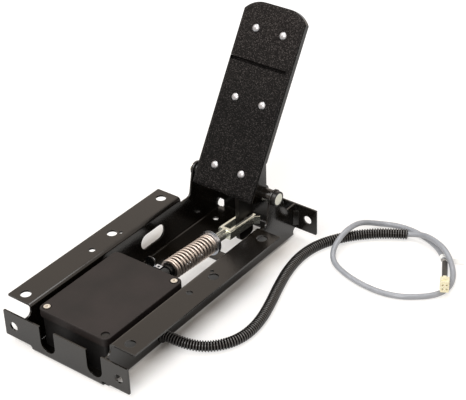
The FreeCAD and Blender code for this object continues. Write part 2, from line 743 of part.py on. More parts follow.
def cable_gland():
    wall = BODY_WIDTH / 2
    inside = wall - HOUSING_WALL
    flange = rod_along(V(wall, EXIT_Y, EXIT_Z), V(1, 0, 0), GLAND_FLANGE, GLAND_D)
    shank_start = V(inside - GLAND_NUT, EXIT_Y, EXIT_Z)
    shank = rod_along(shank_start, V(1, 0, 0), HOUSING_WALL + GLAND_NUT, GLAND_SHANK_D)
    return flange.fuse(shank).removeSplitter()


def gland_nut():
    nut = hexagon(0, GLAND_NUT_ACROSS, GLAND_NUT)
    nut.rotate(V(0, 0, 0), V(0, 1, 0), 90)
    nut.translate(V(BODY_WIDTH / 2 - HOUSING_WALL - GLAND_NUT, EXIT_Y, EXIT_Z))
    start = V(BODY_WIDTH / 2 - HOUSING_WALL - GLAND_NUT - 1, EXIT_Y, EXIT_Z)
    return nut.cut(rod_along(start, V(1, 0, 0), GLAND_NUT + 2, GLAND_SHANK_D + 2 * FIT_CLEAR))


def wall_grommet():
    ring = rod_along(V(WALL_IN, EXIT_Y, EXIT_Z), V(1, 0, 0), SHEET, grommet_hole() - 2 * FIT_CLEAR)
    lip = rod_along(V(WALL_OUT, EXIT_Y, EXIT_Z), V(1, 0, 0), GROMMET_LIP, GROMMET_LIP_D)
    bore = rod_along(V(WALL_IN - 1, EXIT_Y, EXIT_Z), V(1, 0, 0), WALL_OUT, CONDUIT_D + 2 * FIT_CLEAR)
    return ring.fuse(lip).removeSplitter().cut(bore)


# Spring bracket
def spring_bracket():
    rear = rod_point(SEAT_STATION)
    front = rod_point(SEAT_STATION + BRACKET_SHEET)

    def on_plate(point, z):
        rise = (z - point.z) / ROD_UP.z
        return point.y + ROD_UP.y * rise

    low = SHEET
    top = BRACKET_TOP
    foot = bracket_front()
    section = [
        (on_plate(rear, top), top, 0), (on_plate(rear, low), low, BEND + BRACKET_SHEET),
        (foot, low, 0), (foot, low + BRACKET_SHEET, 0),
        (on_plate(front, low + BRACKET_SHEET), low + BRACKET_SHEET, BEND),
        (on_plate(front, top), top, 0),
    ]
    strip = profile(section, side(BRACKET_LEFT)).extrude(V(BRACKET_RIGHT - BRACKET_LEFT, 0, 0))
    outline = [
        (BRACKET_LEFT, 0, 0), (BRACKET_RIGHT, 0, 0), (BRACKET_RIGHT, BRACKET_RIGHT_TOP, WALL_FILLET),
        (ROD_X, BRACKET_RIGHT_TOP, 0), (ROD_X, top, 0), (BRACKET_LEFT, top, WALL_FILLET),
    ]
    keep = profile(outline, across(-END_OUT, 0)).extrude(V(0, TRAY_LENGTH, 0))
    low_ear = bracket_hole(PLUG_X - BRACKET_LOBE, top - WALL_FILLET)
    ear_centre = bracket_hole(PLUG_X, PLUG_Z)
    ear = [
        Part.makeCylinder(BRACKET_LOBE, BRACKET_SHEET, V(ear_centre.x, ear_centre.y, SEAT_STATION)),
        block(low_ear.x, low_ear.x + 2 * BRACKET_LOBE, low_ear.y, ear_centre.y, SEAT_STATION,
              SEAT_STATION + BRACKET_SHEET),
    ]
    tab_left, tab_right = BRACKET_TAB
    tab_low = bracket_hole(tab_left, top - WALL_FILLET)
    tab_high = bracket_hole(tab_right, BRACKET_TAB_TOP - BRACKET_SHEET / 2)
    seat_rear = SEAT_STATION + BRACKET_SHEET
    ear.append(block(tab_low.x, tab_high.x, tab_low.y, tab_high.y, SEAT_STATION, seat_rear))
    tab_rear = (rear.y + front.y) / 2
    shelf_low = BRACKET_TAB_TOP - BRACKET_SHEET
    shelf = block(tab_left, tab_right, BRACKET_TAB_FRONT, tab_rear, shelf_low, BRACKET_TAB_TOP)
    bracket = fused([strip.common(keep), shelf] + [on_rod(shape) for shape in ear])
    through = V(0, 0, SEAT_STATION - 1)
    notch = GUIDE_NECK_D / 2 + FIT_CLEAR
    open_top = block(-notch, notch, 0, 2 * notch, SEAT_STATION - 1, SEAT_STATION + BRACKET_SHEET + 1)
    cuts = [on_rod(Part.makeCylinder(notch, BRACKET_SHEET + 2, through)), on_rod(open_top)]
    plug_hole = bracket_hole(PLUG_X, PLUG_Z)
    cuts.append(on_rod(Part.makeCylinder(PLUG_SHANK_D / 2 + FIT_CLEAR, BRACKET_SHEET + 2, plug_hole)))
    cuts.append(upright(BRACKET_HOLE_X, BRACKET_HOLE_Y, top, BRACKET_TAB_TOP + 1, BRACKET_HOLE_D))
    for x, y in bracket_screw_spots():
        cuts.append(upright(x, y, 0, low + BRACKET_SHEET + 1, BRACKET_SCREW_D + 2 * FIT_CLEAR))
    return bracket.cut(cuts)


def bracket_hole(x, z):
    """Start of a hole through the upright plate, in the push rod's frame."""
    axis = rod_point(SEAT_STATION)
    return V(x - ROD_X, (z - axis.z) / ROD_UP.z, SEAT_STATION - 1)


def bracket_screw(x, y):
    top = SHEET + BRACKET_SHEET
    head = Part.makeCone(BRACKET_SCREW_D / 2 + SHEET, BRACKET_SCREW_D / 2, SHEET, V(x, y, 0))
    shank = upright(x, y, SHEET, top + BRACKET_SCREW_D, BRACKET_SCREW_D)
    return head.fuse(shank).removeSplitter()


def bracket_nut(x, y):
    top = SHEET + BRACKET_SHEET
    nut = hexagon(top, 8.0, 0.8 * BRACKET_SCREW_D)
    nut = nut.cut(upright(0, 0, top - 1, top + BRACKET_SCREW_D + 1, BRACKET_SCREW_D + 2 * FIT_CLEAR))
    nut.translate(V(x, y, 0))
    return nut


def bracket_plug():
    """Flush plug with a shallow recess in its face."""
    start = bracket_hole(PLUG_X, PLUG_Z)
    start.z = SEAT_STATION + BRACKET_SHEET
    head = Part.makeCylinder(PLUG_HEAD_D / 2, PLUG_HEAD, start)
    recess = Part.makeCylinder(PLUG_RECESS_D / 2, PLUG_HEAD, start + V(0, 0, PLUG_HEAD / 2))
    shank = Part.makeCylinder(PLUG_SHANK_D / 2, BRACKET_SHEET, start - V(0, 0, BRACKET_SHEET))
    return on_rod(head.fuse(shank).removeSplitter().cut(recess))


def guide_bush():
    """Rod guide that drops into the bracket's notch by its neck."""
    front = SEAT_STATION + BRACKET_SHEET + FIT_CLEAR
    rear = SEAT_STATION - FIT_CLEAR
    shank = Part.makeCylinder(GUIDE_SHANK_D / 2, GUIDE_SHANK, V(0, 0, rear - GUIDE_SHANK))
    neck = Part.makeCylinder(GUIDE_NECK_D / 2, front - rear, V(0, 0, rear))
    lip = Part.makeCylinder(GUIDE_SHANK_D / 2, GUIDE_LIP, V(0, 0, front))
    bore = Part.makeCylinder(ROD_RADIUS + RUN_CLEAR, 2 * SEAT_STATION, V(0, 0, 0))
    return on_rod(fused([shank, neck, lip]).cut(bore))


# Springs: straight facets along a helix with closed end turns
def spring_rise(turn, turns, start, length, wire):
    """Height of the wire's centre after a number of turns."""
    body = length - wire - 2 * END_TURNS * wire
    open_turns = turns - 2 * END_TURNS
    low = min(turn, END_TURNS) * wire
    middle = min(max(turn - END_TURNS, 0), open_turns) * body / open_turns
    high = max(turn - END_TURNS - open_turns, 0) * wire
    return start + wire / 2 + low + middle + high


def coil_spring(outer, wire, turns, hand, start, length):
    radius = (outer - wire) / 2
    rings = []
    for i in range(int(turns * SPRING_STEPS) + 1):
        angle = hand * 2 * math.pi * i / SPRING_STEPS
        out = V(math.cos(angle), math.sin(angle), 0)
        centre = out * radius + V(0, 0, spring_rise(i / SPRING_STEPS, turns, start, length, wire))
        ring = []
        for k in range(WIRE_SIDES):
            turn = 2 * math.pi * k / WIRE_SIDES
            ring.append(centre + out * (math.cos(turn) * wire / 2) + V(0, 0, math.sin(turn) * wire / 2))
        rings.append(ring)
    faces = [polygon_face(rings[0]), polygon_face(rings[-1])]
    for near, far in zip(rings, rings[1:]):
        for k in range(WIRE_SIDES):
            following = (k + 1) % WIRE_SIDES
            faces.append(polygon_face([near[k], near[following], far[following]]))
            faces.append(polygon_face([near[k], far[following], far[k]]))
    solid = Part.Solid(Part.Shell(faces))
    if solid.Volume < 0:
        solid.reverse()
    return on_rod(solid)


def polygon_face(points):
    return Part.Face(Part.makePolygon(points + points[:1]))


def spring_start():
    return WASHER_STATION + 2 * WASHER


def outer_spring():
    length = SEAT_STATION - spring_start()
    return coil_spring(OUTER_SPRING_D, OUTER_WIRE, OUTER_TURNS, 1, spring_start(), length)


def inner_spring():
    length = SEAT_STATION - spring_start()
    return coil_spring(INNER_SPRING_D, INNER_WIRE, INNER_TURNS, -1, spring_start(), length)


# Push rod and fork
def push_rod():
    return on_rod(Part.makeCylinder(ROD_RADIUS, ROD_FRONT - FORK_SLOT, V(0, 0, FORK_SLOT)))


def spring_washers():
    bore = ROD_D + 2 * FIT_CLEAR
    start = WASHER_STATION
    rings = [ring_along(V(0, 0, start + i * WASHER), V(0, 0, 1), WASHER, WASHER_D, bore) for i in range(2)]
    return on_rod(Part.makeCompound(rings))


def stop_ring():
    """Pressed ring that carries the washers on the rod."""
    start = V(0, 0, WASHER_STATION - STOP_RING)
    return on_rod(ring_along(start, V(0, 0, 1), STOP_RING, STOP_RING_D, ROD_D + 2 * FIT_CLEAR))


def fork_head():
    """U-shaped fork with a round neck that the push rod is fixed in."""
    half = FORK_SIDE / 2
    tall = FORK_HEIGHT / 2
    body = block(-half, half, -tall, tall, -FORK_TIP, FORK_BODY, FORK_CHAMFER)
    tip = rod_along(V(-half, 0, 0), V(1, 0, 0), FORK_SIDE, 2 * FORK_TIP)
    cap = block(-half, half, -tall, tall, 0, FORK_BODY).fuse(tip)
    gap = block(-FORK_GAP / 2, FORK_GAP / 2, -FORK_SIDE, FORK_SIDE, -FORK_SIDE, FORK_SLOT)
    pin_hole = rod_along(V(-FORK_SIDE, 0, 0), V(1, 0, 0), 2 * FORK_SIDE, FORK_PIN_D + 2 * FIT_CLEAR)
    neck_end = WASHER_STATION - STOP_RING
    neck = Part.makeCylinder(FORK_NECK_D / 2, neck_end - FORK_SLOT, V(0, 0, FORK_SLOT))
    bore = Part.makeCylinder(ROD_RADIUS + FIT_CLEAR, WASHER_STATION, V(0, 0, FORK_SLOT - 1))
    return on_rod(fused([body.common(cap), neck]).cut([gap, pin_hole, bore]))


def fork_pin():
    right = FORK_SIDE / 2 + CLIP_SHEET
    length = right + FORK_SIDE / 2 + FORK_PIN_END
    pin = rod_along(V(right, 0, 0), V(-1, 0, 0), length, FORK_PIN_D)
    groove_start = V(-FORK_SIDE / 2 - FORK_PIN_END / 3, 0, 0)
    groove = ring_along(groove_start, V(-1, 0, 0), FORK_PIN_END / 3, FORK_PIN_D + 1, FORK_PIN_D - 1.6)
    return on_rod(pin.cut(groove))


def fork_clip():
    """Leaf along the right prong, hooked over the front wall and turned out behind the pin."""
    left = FORK_SIDE / 2
    right = left + CLIP_SHEET
    half = CLIP_HEIGHT / 2
    rear = -FORK_TIP / 2
    front = FORK_BODY + CLIP_SHEET
    turn = math.radians(CLIP_TAB_DEG)
    reach_x = CLIP_TAB * math.sin(turn)
    reach_z = CLIP_TAB * math.cos(turn)
    corners = [
        (left, rear, 0), (left, FORK_BODY, 0), (left - CLIP_HOOK, FORK_BODY, 0), (left - CLIP_HOOK, front, 0),
        (right, front, CLIP_SHEET / 2), (right, rear, 0), (right + reach_x, rear - reach_z, 0),
        (right + reach_x - CLIP_SHEET, rear - reach_z - CLIP_SHEET, 0),
    ]
    leaf = profile(corners, lambda p: V(p.x, -half, p.y)).extrude(V(0, CLIP_HEIGHT, 0))
    hole = rod_along(V(left - 1, 0, 0), V(1, 0, 0), CLIP_SHEET + 2, FORK_PIN_D + 2 * FIT_CLEAR)
    neck_slot = Part.makeCylinder(FORK_NECK_D / 2 + FIT_CLEAR, FORK_SIDE, V(0, 0, FORK_BODY - 1))
    return on_rod(leaf.cut([hole, neck_slot]))


def magnet_holder():
    half = HOLDER_WIDTH / 2
    body = block(-half, half, -HOLDER_DOWN, HOLDER_UP, HOLDER_STATION, ROD_FRONT)
    bore = Part.makeCylinder(ROD_RADIUS + FIT_CLEAR, ROD_FRONT, V(0, 0, 0))
    middle = (HOLDER_STATION + ROD_FRONT) / 2
    pocket = rod_along(V(0, -HOLDER_DOWN - 1, middle), V(0, 1, 0), MAGNET + 1, MAGNET_D + 2 * FIT_CLEAR)
    return on_rod(body.cut([bore, pocket]))


def magnet():
    middle = (HOLDER_STATION + ROD_FRONT) / 2
    return on_rod(rod_along(V(0, -HOLDER_DOWN, middle), V(0, 1, 0), MAGNET, MAGNET_D))


# Pivot
TUBE_HALF = WALL_IN - BUSH_END_GAP - BUSH_FLANGE
PIVOT_LEFT = V(-WALL_OUT, PIVOT_Y, PIVOT_Z)
PIVOT_RIGHT = V(WALL_OUT, PIVOT_Y, PIVOT_Z)


def clip_start():
    return V(-WALL_OUT - PIN_WASHER - FIT_CLEAR, PIVOT_Y, PIVOT_Z)


def pivot_pin():
    head_start = WALL_OUT + PIN_WASHER
    tail = WALL_OUT + PIN_WASHER + PIN_TAIL
    shaft = rod_along(V(-tail, PIVOT_Y, PIVOT_Z), V(1, 0, 0), tail + head_start, PIN_D)
    head = rod_along(V(head_start, PIVOT_Y, PIVOT_Z), V(1, 0, 0), PIN_HEAD_LENGTH, PIN_HEAD_D)
    groove_start = clip_start() + V(FIT_CLEAR, 0, 0)
    groove_length = PIN_CLIP + 2 * FIT_CLEAR
    groove = ring_along(groove_start, V(-1, 0, 0), groove_length, PIN_D + 1, PIN_CLIP_BORE - 2 * FIT_CLEAR)
    return shaft.fuse(head).removeSplitter().cut(groove)


def head_washer():
    """Cup that the pin's head sits in, almost flush."""
    depth = PIN_WASHER + PIN_HEAD_LENGTH - FIT_CLEAR
    cup = ring_along(PIVOT_RIGHT, V(1, 0, 0), depth, PIN_WASHER_D, PIN_D + 2 * FIT_CLEAR)
    seat = PIVOT_RIGHT + V(PIN_WASHER, 0, 0)
    return cup.cut(rod_along(seat, V(1, 0, 0), PIN_HEAD_LENGTH, PIN_HEAD_D + 2 * FIT_CLEAR))


def tail_washer():
    return ring_along(PIVOT_LEFT, V(-1, 0, 0), PIN_WASHER, PIN_WASHER_D, PIN_D + 2 * FIT_CLEAR)


def pin_clip():
    """Open ring in the pin's groove."""
    start = clip_start()
    ring = ring_along(start, V(-1, 0, 0), PIN_CLIP, PIN_CLIP_D, PIN_CLIP_BORE)
    half = PIN_CLIP_MOUTH / 2
    low = PIVOT_Z - PIN_CLIP_D
    mouth = block(start.x - 2 * PIN_CLIP, start.x + 1, PIVOT_Y - half, PIVOT_Y + half, low, PIVOT_Z)
    return ring.cut(mouth)


def hinge_tube():
    start = V(-TUBE_HALF, PIVOT_Y, PIVOT_Z)
    inner = PIN_D + 2 * (RUN_CLEAR + BUSH_WALL + FIT_CLEAR)
    return ring_along(start, V(1, 0, 0), 2 * TUBE_HALF, TUBE_D, inner)


def pivot_bush(sign):
    inner = PIN_D + 2 * RUN_CLEAR
    inward = V(-sign, 0, 0)
    end = V(sign * (TUBE_HALF + BUSH_FLANGE), PIVOT_Y, PIVOT_Z)
    flange = rod_along(end, inward, BUSH_FLANGE, TUBE_D)
    sleeve = rod_along(end, inward, BUSH_FLANGE + BUSH_LENGTH, inner + 2 * BUSH_WALL)
    bore = rod_along(end - inward, inward, BUSH_FLANGE + BUSH_LENGTH + 2, inner)
    return flange.fuse(sleeve).removeSplitter().cut(bore)


# Pedal
def pedal_outline(inset, low):
    """Front view of the pedal, moved in by inset: straight sides, slanted shoulders, rounded crown."""
    half = PEDAL_WIDTH / 2
    slant = math.radians(PEDAL_SHOULDER_DEG)
    crown_x = half - (PEDAL_TOP - PEDAL_SHOULDER) / math.tan(slant)
    side_x = half - inset
    shoulder = PEDAL_SHOULDER - inset * (1 - math.sin(slant)) / math.cos(slant)
    top_x = crown_x - inset * (1 - math.cos(slant)) / math.sin(slant)
    top = PEDAL_TOP - inset
    slant_length = (top - shoulder) / math.sin(slant)
    corner_reach = PEDAL_CORNER * math.tan(math.pi / 4 - slant / 2)
    crown = min(PEDAL_CROWN - inset, 0.98 * (slant_length - corner_reach) / math.tan(slant / 2))
    return [
        (PEDAL_SHIFT - side_x, low, 0), (PEDAL_SHIFT + side_x, low, 0),
        (PEDAL_SHIFT + side_x, shoulder, PEDAL_CORNER), (PEDAL_SHIFT + top_x, top, crown),
        (PEDAL_SHIFT - top_x, top, crown), (PEDAL_SHIFT - side_x, shoulder, PEDAL_CORNER),
    ]


def pedal_plate():
    """Web with a lip round it that deepens into two gussets round the hinge tube."""
    left = PEDAL_SHIFT - PEDAL_WIDTH / 2
    right = left + PEDAL_WIDTH
    left_in = left + PEDAL_SHEET
    right_in = right - PEDAL_SHEET
    web_rear = PAD_THICK + PEDAL_SHEET
    deep = LIP_DEPTH + 2 * TUBE_D
    section = [
        (left, PAD_THICK, 0), (right, PAD_THICK, 0), (right, deep, 0), (right_in, deep, 0),
        (right_in, web_rear, PEDAL_BEND), (left_in, web_rear, PEDAL_BEND),
        (left_in, deep, 0), (left, deep, 0),
    ]
    height = PEDAL_SHOULDER - PEDAL_CORNER - PEDAL_BOTTOM
    channel = profile(section, lambda p: face_point(p.x, PEDAL_BOTTOM, p.y)).extrude(UP_FACE * height)
    face_corner = face_point(0, GUSSET_TOP, LIP_DEPTH)
    points = [
        face_point(0, PEDAL_BOTTOM, PAD_THICK), face_point(0, PEDAL_TOP, PAD_THICK),
        face_point(0, PEDAL_TOP, LIP_DEPTH), face_corner,
        V(0, GUSSET_REAR, face_corner.z - (GUSSET_REAR - face_corner.y)),
        V(0, GUSSET_REAR, PIVOT_Z), V(0, PIVOT_Y, PIVOT_Z - TUBE_D / 2 - LOBE_WALL),
    ]
    outline = profile([(p.y, p.z, 0) for p in points], side(left)).extrude(V(PEDAL_WIDTH, 0, 0))
    axis_start = V(left, PIVOT_Y, PIVOT_Z)
    lobe = rod_along(axis_start, V(1, 0, 0), PEDAL_WIDTH, TUBE_D + 2 * LOBE_WALL)
    gussets = channel.common(outline.fuse(lobe))
    rim = profile(pedal_outline(0, GUSSET_TOP), on_face(PAD_THICK))
    pan = rim.extrude(BEHIND_FACE * (LIP_DEPTH - PAD_THICK))
    hollow_rim = profile(pedal_outline(PEDAL_SHEET, GUSSET_TOP - 1), on_face(web_rear))
    hollow = hollow_rim.extrude(BEHIND_FACE * deep)
    tube = rod_along(axis_start - V(1, 0, 0), V(1, 0, 0), PEDAL_WIDTH + 2, TUBE_D + 2 * FIT_CLEAR)
    holes = []
    for x, s in rivet_spots():
        holes.append(rod_along(face_point(x, s, 0), BEHIND_FACE, web_rear + 1, RIVET_SHANK_D + 2 * FIT_CLEAR))
    return gussets.fuse(pan.cut(hollow)).removeSplitter().cut([tube] + holes).removeSplitter()


def rivet_spots():
    return [(x, row * RIVET_PITCH) for row in range(3) for x in (-RIVET_SPREAD / 2, RIVET_SPREAD / 2)]


def grip_pad(low, high):
    """Length of a flat pad that is bevelled round its outer edge."""
    bottom = PEDAL_BOTTOM
    rim = profile(pedal_outline(PAD_INSET, bottom), on_face(PAD_BEVEL))
    crown = profile(pedal_outline(PAD_INSET + PAD_SLOPE, bottom + PAD_SLOPE), on_face(0))
    base = rim.extrude(BEHIND_FACE * (PAD_THICK - PAD_BEVEL))
    whole = base.fuse(Part.makeLoft([rim.OuterWire, crown.OuterWire], True, True)).removeSplitter()
    window = profile(rectangle(-PEDAL_WIDTH, PEDAL_WIDTH, low, high, 0), on_face(-1))
    span = window.extrude(BEHIND_FACE * 2 * PAD_THICK)
    holes = [
        rod_along(face_point(x, s, -1), BEHIND_FACE, PAD_THICK + 2, RIVET_SHANK_D + 2 * FIT_CLEAR)
        for x, s in rivet_spots() if low < s < high
    ]
    return whole.common(span).cut(holes)


def lower_pad():
    """Pad with a groove along its upper edge, closed at both ends."""
    left = PEDAL_SHIFT - PEDAL_WIDTH / 2 + GROOVE_END
    right = PEDAL_SHIFT + PEDAL_WIDTH / 2 - PAD_SLOPE - GROOVE_END / 2
    low = PAD_SPLIT - PAD_GAP / 2
    high = PAD_SPLIT + PAD_GAP / 2
    mouth = profile(rectangle(left, right, low, high + 1, 0), on_face(-1))
    return grip_pad(PEDAL_BOTTOM - 1, high).cut(mouth.extrude(BEHIND_FACE * (GROOVE_DEPTH + 1)))


def upper_pad():
    return grip_pad(PAD_SPLIT + PAD_GAP / 2 + PAD_SEAM, PEDAL_TOP + 1)


def pad_rivet(x, s):
    rear = PAD_THICK + PEDAL_SHEET
    head_base = face_point(x, s, 0)
    flat = Part.makeCone(RIVET_HEAD_D / 2, RIVET_HEAD_D / 4, RIVET_HEAD, head_base, BEHIND_FACE * -1)
    shank = rod_along(head_base, BEHIND_FACE, rear, RIVET_SHANK_D)
    tail = rod_along(face_point(x, s, rear), BEHIND_FACE, RIVET_TAIL, RIVET_TAIL_D)
    return flat.multiFuse([shank, tail]).removeSplitter()


def lever_plate():
    """Plate on the hinge tube that carries the fork pin in a short slot."""
    x = ROD_X - LEVER_THICK / 2
    outline = [
        (LEVER_FRONT, PIVOT_Z, 0), (LEVER_FRONT, LEVER_FOOT, WALL_FILLET),
        (LEVER_REAR, LEVER_FOOT, WALL_FILLET), (LEVER_REAR, PIVOT_Z, 0),
    ]
    plate = profile(outline, side(x)).extrude(V(LEVER_THICK, 0, 0))
    lobe = rod_along(V(x, PIVOT_Y, PIVOT_Z), V(1, 0, 0), LEVER_THICK, 2 * LEVER_LOBE)
    tube = rod_along(V(x - 1, PIVOT_Y, PIVOT_Z), V(1, 0, 0), LEVER_THICK + 2, TUBE_D + 2 * FIT_CLEAR)
    arm = (FORK_PIN - V(ROD_X, PIVOT_Y, PIVOT_Z)).normalize()
    pin_slot = FORK_PIN_D + 2 * LEVER_SLOT_CLEAR
    ends = []
    for shift in (-LEVER_SLOT_LOW, LEVER_SLOT_HIGH):
        centre = FORK_PIN + arm * shift
        ends.append(rod_along(V(x - 1, centre.y, centre.z), V(1, 0, 0), LEVER_THICK + 2, pin_slot))
    return plate.fuse(lobe).removeSplitter().cut([tube] + ends)


# Cords
def cord_path(points):
    """Straight runs joined by tangent arcs, as large as the shorter run allows."""
    route = [V(*p) for p in points]
    edges = []
    radii = []
    here = route[0]
    for before, corner, after in zip(route, route[1:], route[2:]):
        back = (before - corner).normalize()
        ahead = (after - corner).normalize()
        half = back.getAngle(ahead) / 2
        reach = ARC_SHARE * min(before.distanceToPoint(corner), after.distanceToPoint(corner))
        radius = reach * math.tan(half)
        start = corner + back * reach
        end = corner + ahead * reach
        middle = corner + (back + ahead).normalize() * (radius / math.sin(half) - radius)
        edges.append(Part.LineSegment(here, start).toShape())
        edges.append(Part.Arc(start, middle, end).toShape())
        radii.append(radius)
        here = end
    edges.append(Part.LineSegment(here, route[-1]).toShape())
    return Part.Wire(edges), radii


def cord_tube(name, points, diameter):
    path, radii = cord_path(points)
    start = V(*points[0])
    circle = Part.makeCircle(diameter / 2, start, V(*points[1]) - start)
    tube = path.makePipeShell([Part.Wire([circle])], True, False)
    area = math.pi * diameter ** 2 / 4
    print(name, "length", round(path.Length, 1), "radii", [round(r) for r in radii])
    print(name, "volume over section times length", round(tube.Volume / (area * path.Length), 4))
    return tube


def conduit():
    start = (BODY_WIDTH / 2 + GLAND_FLANGE, EXIT_Y, EXIT_Z)
    return cord_tube("conduit", [start] + CONDUIT_ROUTE, CONDUIT_D)


def cable():
    return cord_tube("cable", CABLE_ROUTE, CABLE_D)


CABLE_END = V(*CABLE_ROUTE[-1])
CABLE_AHEAD = (CABLE_END - V(*CABLE_ROUTE[-2])).normalize()
SHIELD_END = CABLE_END + CABLE_AHEAD * SHIELD
SLEEVE_AHEAD = (V(*SLEEVE_END) - SHIELD_END).normalize()
SLEEVE_START = SHIELD_END + SLEEVE_AHEAD * SLEEVE_GAP
PLUG_AHEAD = (V(*PLUG_FRONT) - V(*SLEEVE_END)).normalize()
PLUG_RIGHT = V(-PLUG_AHEAD.y, PLUG_AHEAD.x, 0).normalize()


def cable_shield():
    return rod_along(CABLE_END, CABLE_AHEAD, SHIELD, SHIELD_D)


def wire_sleeve():
    length = SLEEVE_START.distanceToPoint(V(*SLEEVE_END))
    return rod_along(SLEEVE_START, SLEEVE_AHEAD, length, SLEEVE_D)


def cable_connector():
    """Square nylon shell with four contact holes and a latch on its top."""
    start = V(*PLUG_FRONT) - PLUG_AHEAD * PLUG_LENGTH
    frame = FreeCAD.Placement(start, FreeCAD.Rotation(PLUG_RIGHT, V(0, 0, 0), PLUG_AHEAD, "ZXY"))
    half = PLUG_SIDE / 2
    tall = PLUG_HEIGHT / 2
    step = PLUG_LENGTH - PLUG_STEP
    nose = half - PLUG_NOSE_INSET
    nose_tall = tall - PLUG_NOSE_INSET
    shell = block(-half, half, -tall, tall, 0, step, FLAG_WALL)
    shell = shell.fuse(block(-nose, nose, -nose_tall, nose_tall, step, PLUG_LENGTH, FLAG_WALL))
    wide, long, high = LATCH
    latch = block(-wide / 2, wide / 2, tall, tall + high, FLAG_WALL, long)
    holes = []
    for x in (-CONTACT_PITCH / 2, CONTACT_PITCH / 2):
        for y in (-CONTACT_PITCH / 2, CONTACT_PITCH / 2):
            holes.append(upright(x, y, PLUG_LENGTH - CONTACT_DEPTH, PLUG_LENGTH + 1, CONTACT_D))
    plug = shell.fuse(latch).removeSplitter().cut(holes)
    plug.Placement = frame
    return plug


def cable_flag():
    """Blank marker wrapped round the cable's last run, with its tail lying out to one side."""
    start = CABLE_END - CABLE_AHEAD * (FLAG_WRAP + 2 * FLAG_WALL)
    inner = CABLE_D + 2 * FIT_CLEAR
    wrap = ring_along(start, CABLE_AHEAD, FLAG_WRAP, inner + 2 * FLAG_WALL, inner)
    middle = start + CABLE_AHEAD * (FLAG_WRAP / 2)
    tail = block(CABLE_D / 5, FLAG_LENGTH, -FLAG_WIDTH / 2, FLAG_WIDTH / 2, 0, FLAG_WALL)
    tail.rotate(V(0, 0, 0), V(0, 0, 1), FLAG_TURN_DEG)
    tail.translate(V(middle.x, middle.y, 0))
    above = block(-TRAY_LENGTH, TRAY_LENGTH, -TRAY_LENGTH, TRAY_LENGTH, 0, FLANGE_TOP)
    flag = wrap.fuse(tail).common(above)
    return flag.cut(rod_along(start - CABLE_AHEAD, CABLE_AHEAD, FLAG_WRAP + 2, inner)).removeSplitter()


def each(make, spots):
    return Part.makeCompound([make(*spot) for spot in spots])


PIECES = {
    "base_tray": base_tray,
    "sensor_housing": sensor_housing,
    "housing_lid": housing_lid,
    "lid_gasket": lid_gasket,
    "lid_screws": lambda: each(lid_screw, SCREW_CORNERS),
    "lid_plug": lid_plug,
    "housing_screws": lambda: each(floor_screw, floor_screw_spots()),
    "sensor_board": sensor_board,
    "board_screws": lambda: each(board_screw, board_screw_spots()),
    "hall_sensor": hall_sensor,
    "rod_seal": rod_seal,
    "cable_gland": cable_gland,
    "gland_nut": gland_nut,
    "wall_grommet": wall_grommet,
    "spring_bracket": spring_bracket,
    "bracket_screws": lambda: each(bracket_screw, bracket_screw_spots()),
    "bracket_nuts": lambda: each(bracket_nut, bracket_screw_spots()),
    "bracket_plug": bracket_plug,
    "guide_bush": guide_bush,
    "outer_spring": outer_spring,
    "inner_spring": inner_spring,
    "push_rod": push_rod,
    "spring_washers": spring_washers,
    "stop_ring": stop_ring,
    "fork_head": fork_head,
    "fork_pin": fork_pin,
    "fork_clip": fork_clip,
    "magnet_holder": magnet_holder,
    "magnet": magnet,
    "pivot_pin": pivot_pin,
    "head_washer": head_washer,
    "tail_washer": tail_washer,
    "pin_clip": pin_clip,
    "hinge_tube": hinge_tube,
    "pivot_bushes": lambda: each(pivot_bush, [(-1,), (1,)]),
    "pedal_plate": pedal_plate,
    "lower_pad": lower_pad,
    "upper_pad": upper_pad,
    "pad_rivets": lambda: each(pad_rivet, rivet_spots()),
    "lever_plate": lever_plate,
    "conduit": conduit,
    "cable": cable,
    "cable_shield": cable_shield,
    "wire_sleeve": wire_sleeve,
    "cable_connector": cable_connector,
    "cable_flag": cable_flag,
}

os.makedirs("parts", exist_ok=True)
for name, make in PIECES.items():
    shape = make()
    for solid in shape.Solids:
        if not solid.isValid():
            print("not valid:", name)
    print(name, len(shape.Solids), "solids", round(shape.Volume), "mm3")
    shape.exportStep("parts/" + name + ".step")
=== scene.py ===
import json
import math

import bpy
from mathutils import Matrix, Vector


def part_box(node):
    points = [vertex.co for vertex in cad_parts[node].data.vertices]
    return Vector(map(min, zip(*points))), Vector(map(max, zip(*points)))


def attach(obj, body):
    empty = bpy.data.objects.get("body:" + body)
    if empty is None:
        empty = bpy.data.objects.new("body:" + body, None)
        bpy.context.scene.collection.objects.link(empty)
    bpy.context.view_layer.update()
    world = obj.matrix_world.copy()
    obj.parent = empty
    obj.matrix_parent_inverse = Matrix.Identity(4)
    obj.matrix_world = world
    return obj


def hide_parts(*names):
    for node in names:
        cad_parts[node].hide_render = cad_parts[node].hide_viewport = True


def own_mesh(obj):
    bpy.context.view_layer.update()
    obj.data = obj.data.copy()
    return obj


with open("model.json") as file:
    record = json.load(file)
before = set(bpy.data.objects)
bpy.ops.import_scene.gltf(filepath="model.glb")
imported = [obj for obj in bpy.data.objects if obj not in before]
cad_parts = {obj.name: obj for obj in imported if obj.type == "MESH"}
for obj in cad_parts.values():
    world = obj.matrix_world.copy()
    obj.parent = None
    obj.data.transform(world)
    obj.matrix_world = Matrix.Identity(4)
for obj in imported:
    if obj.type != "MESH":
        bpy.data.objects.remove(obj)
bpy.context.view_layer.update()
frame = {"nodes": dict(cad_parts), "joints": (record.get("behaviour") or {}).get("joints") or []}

SCENE = bpy.context.scene
MM = 0.001

# Camera, fitted to the photograph's frame
IMAGE_WIDTH = 466
FOCAL_PIXELS = 1353.2
SENSOR_WIDTH = 36.0
CAMERA_PLACE = Vector((0.7568, -0.8569, 0.8527))
CAMERA_TURN = math.radians(37.94)
CAMERA_TILT = math.radians(33.13)
CAMERA_ROLL = math.radians(-1.90)
CAMERA_REACH = 20.0

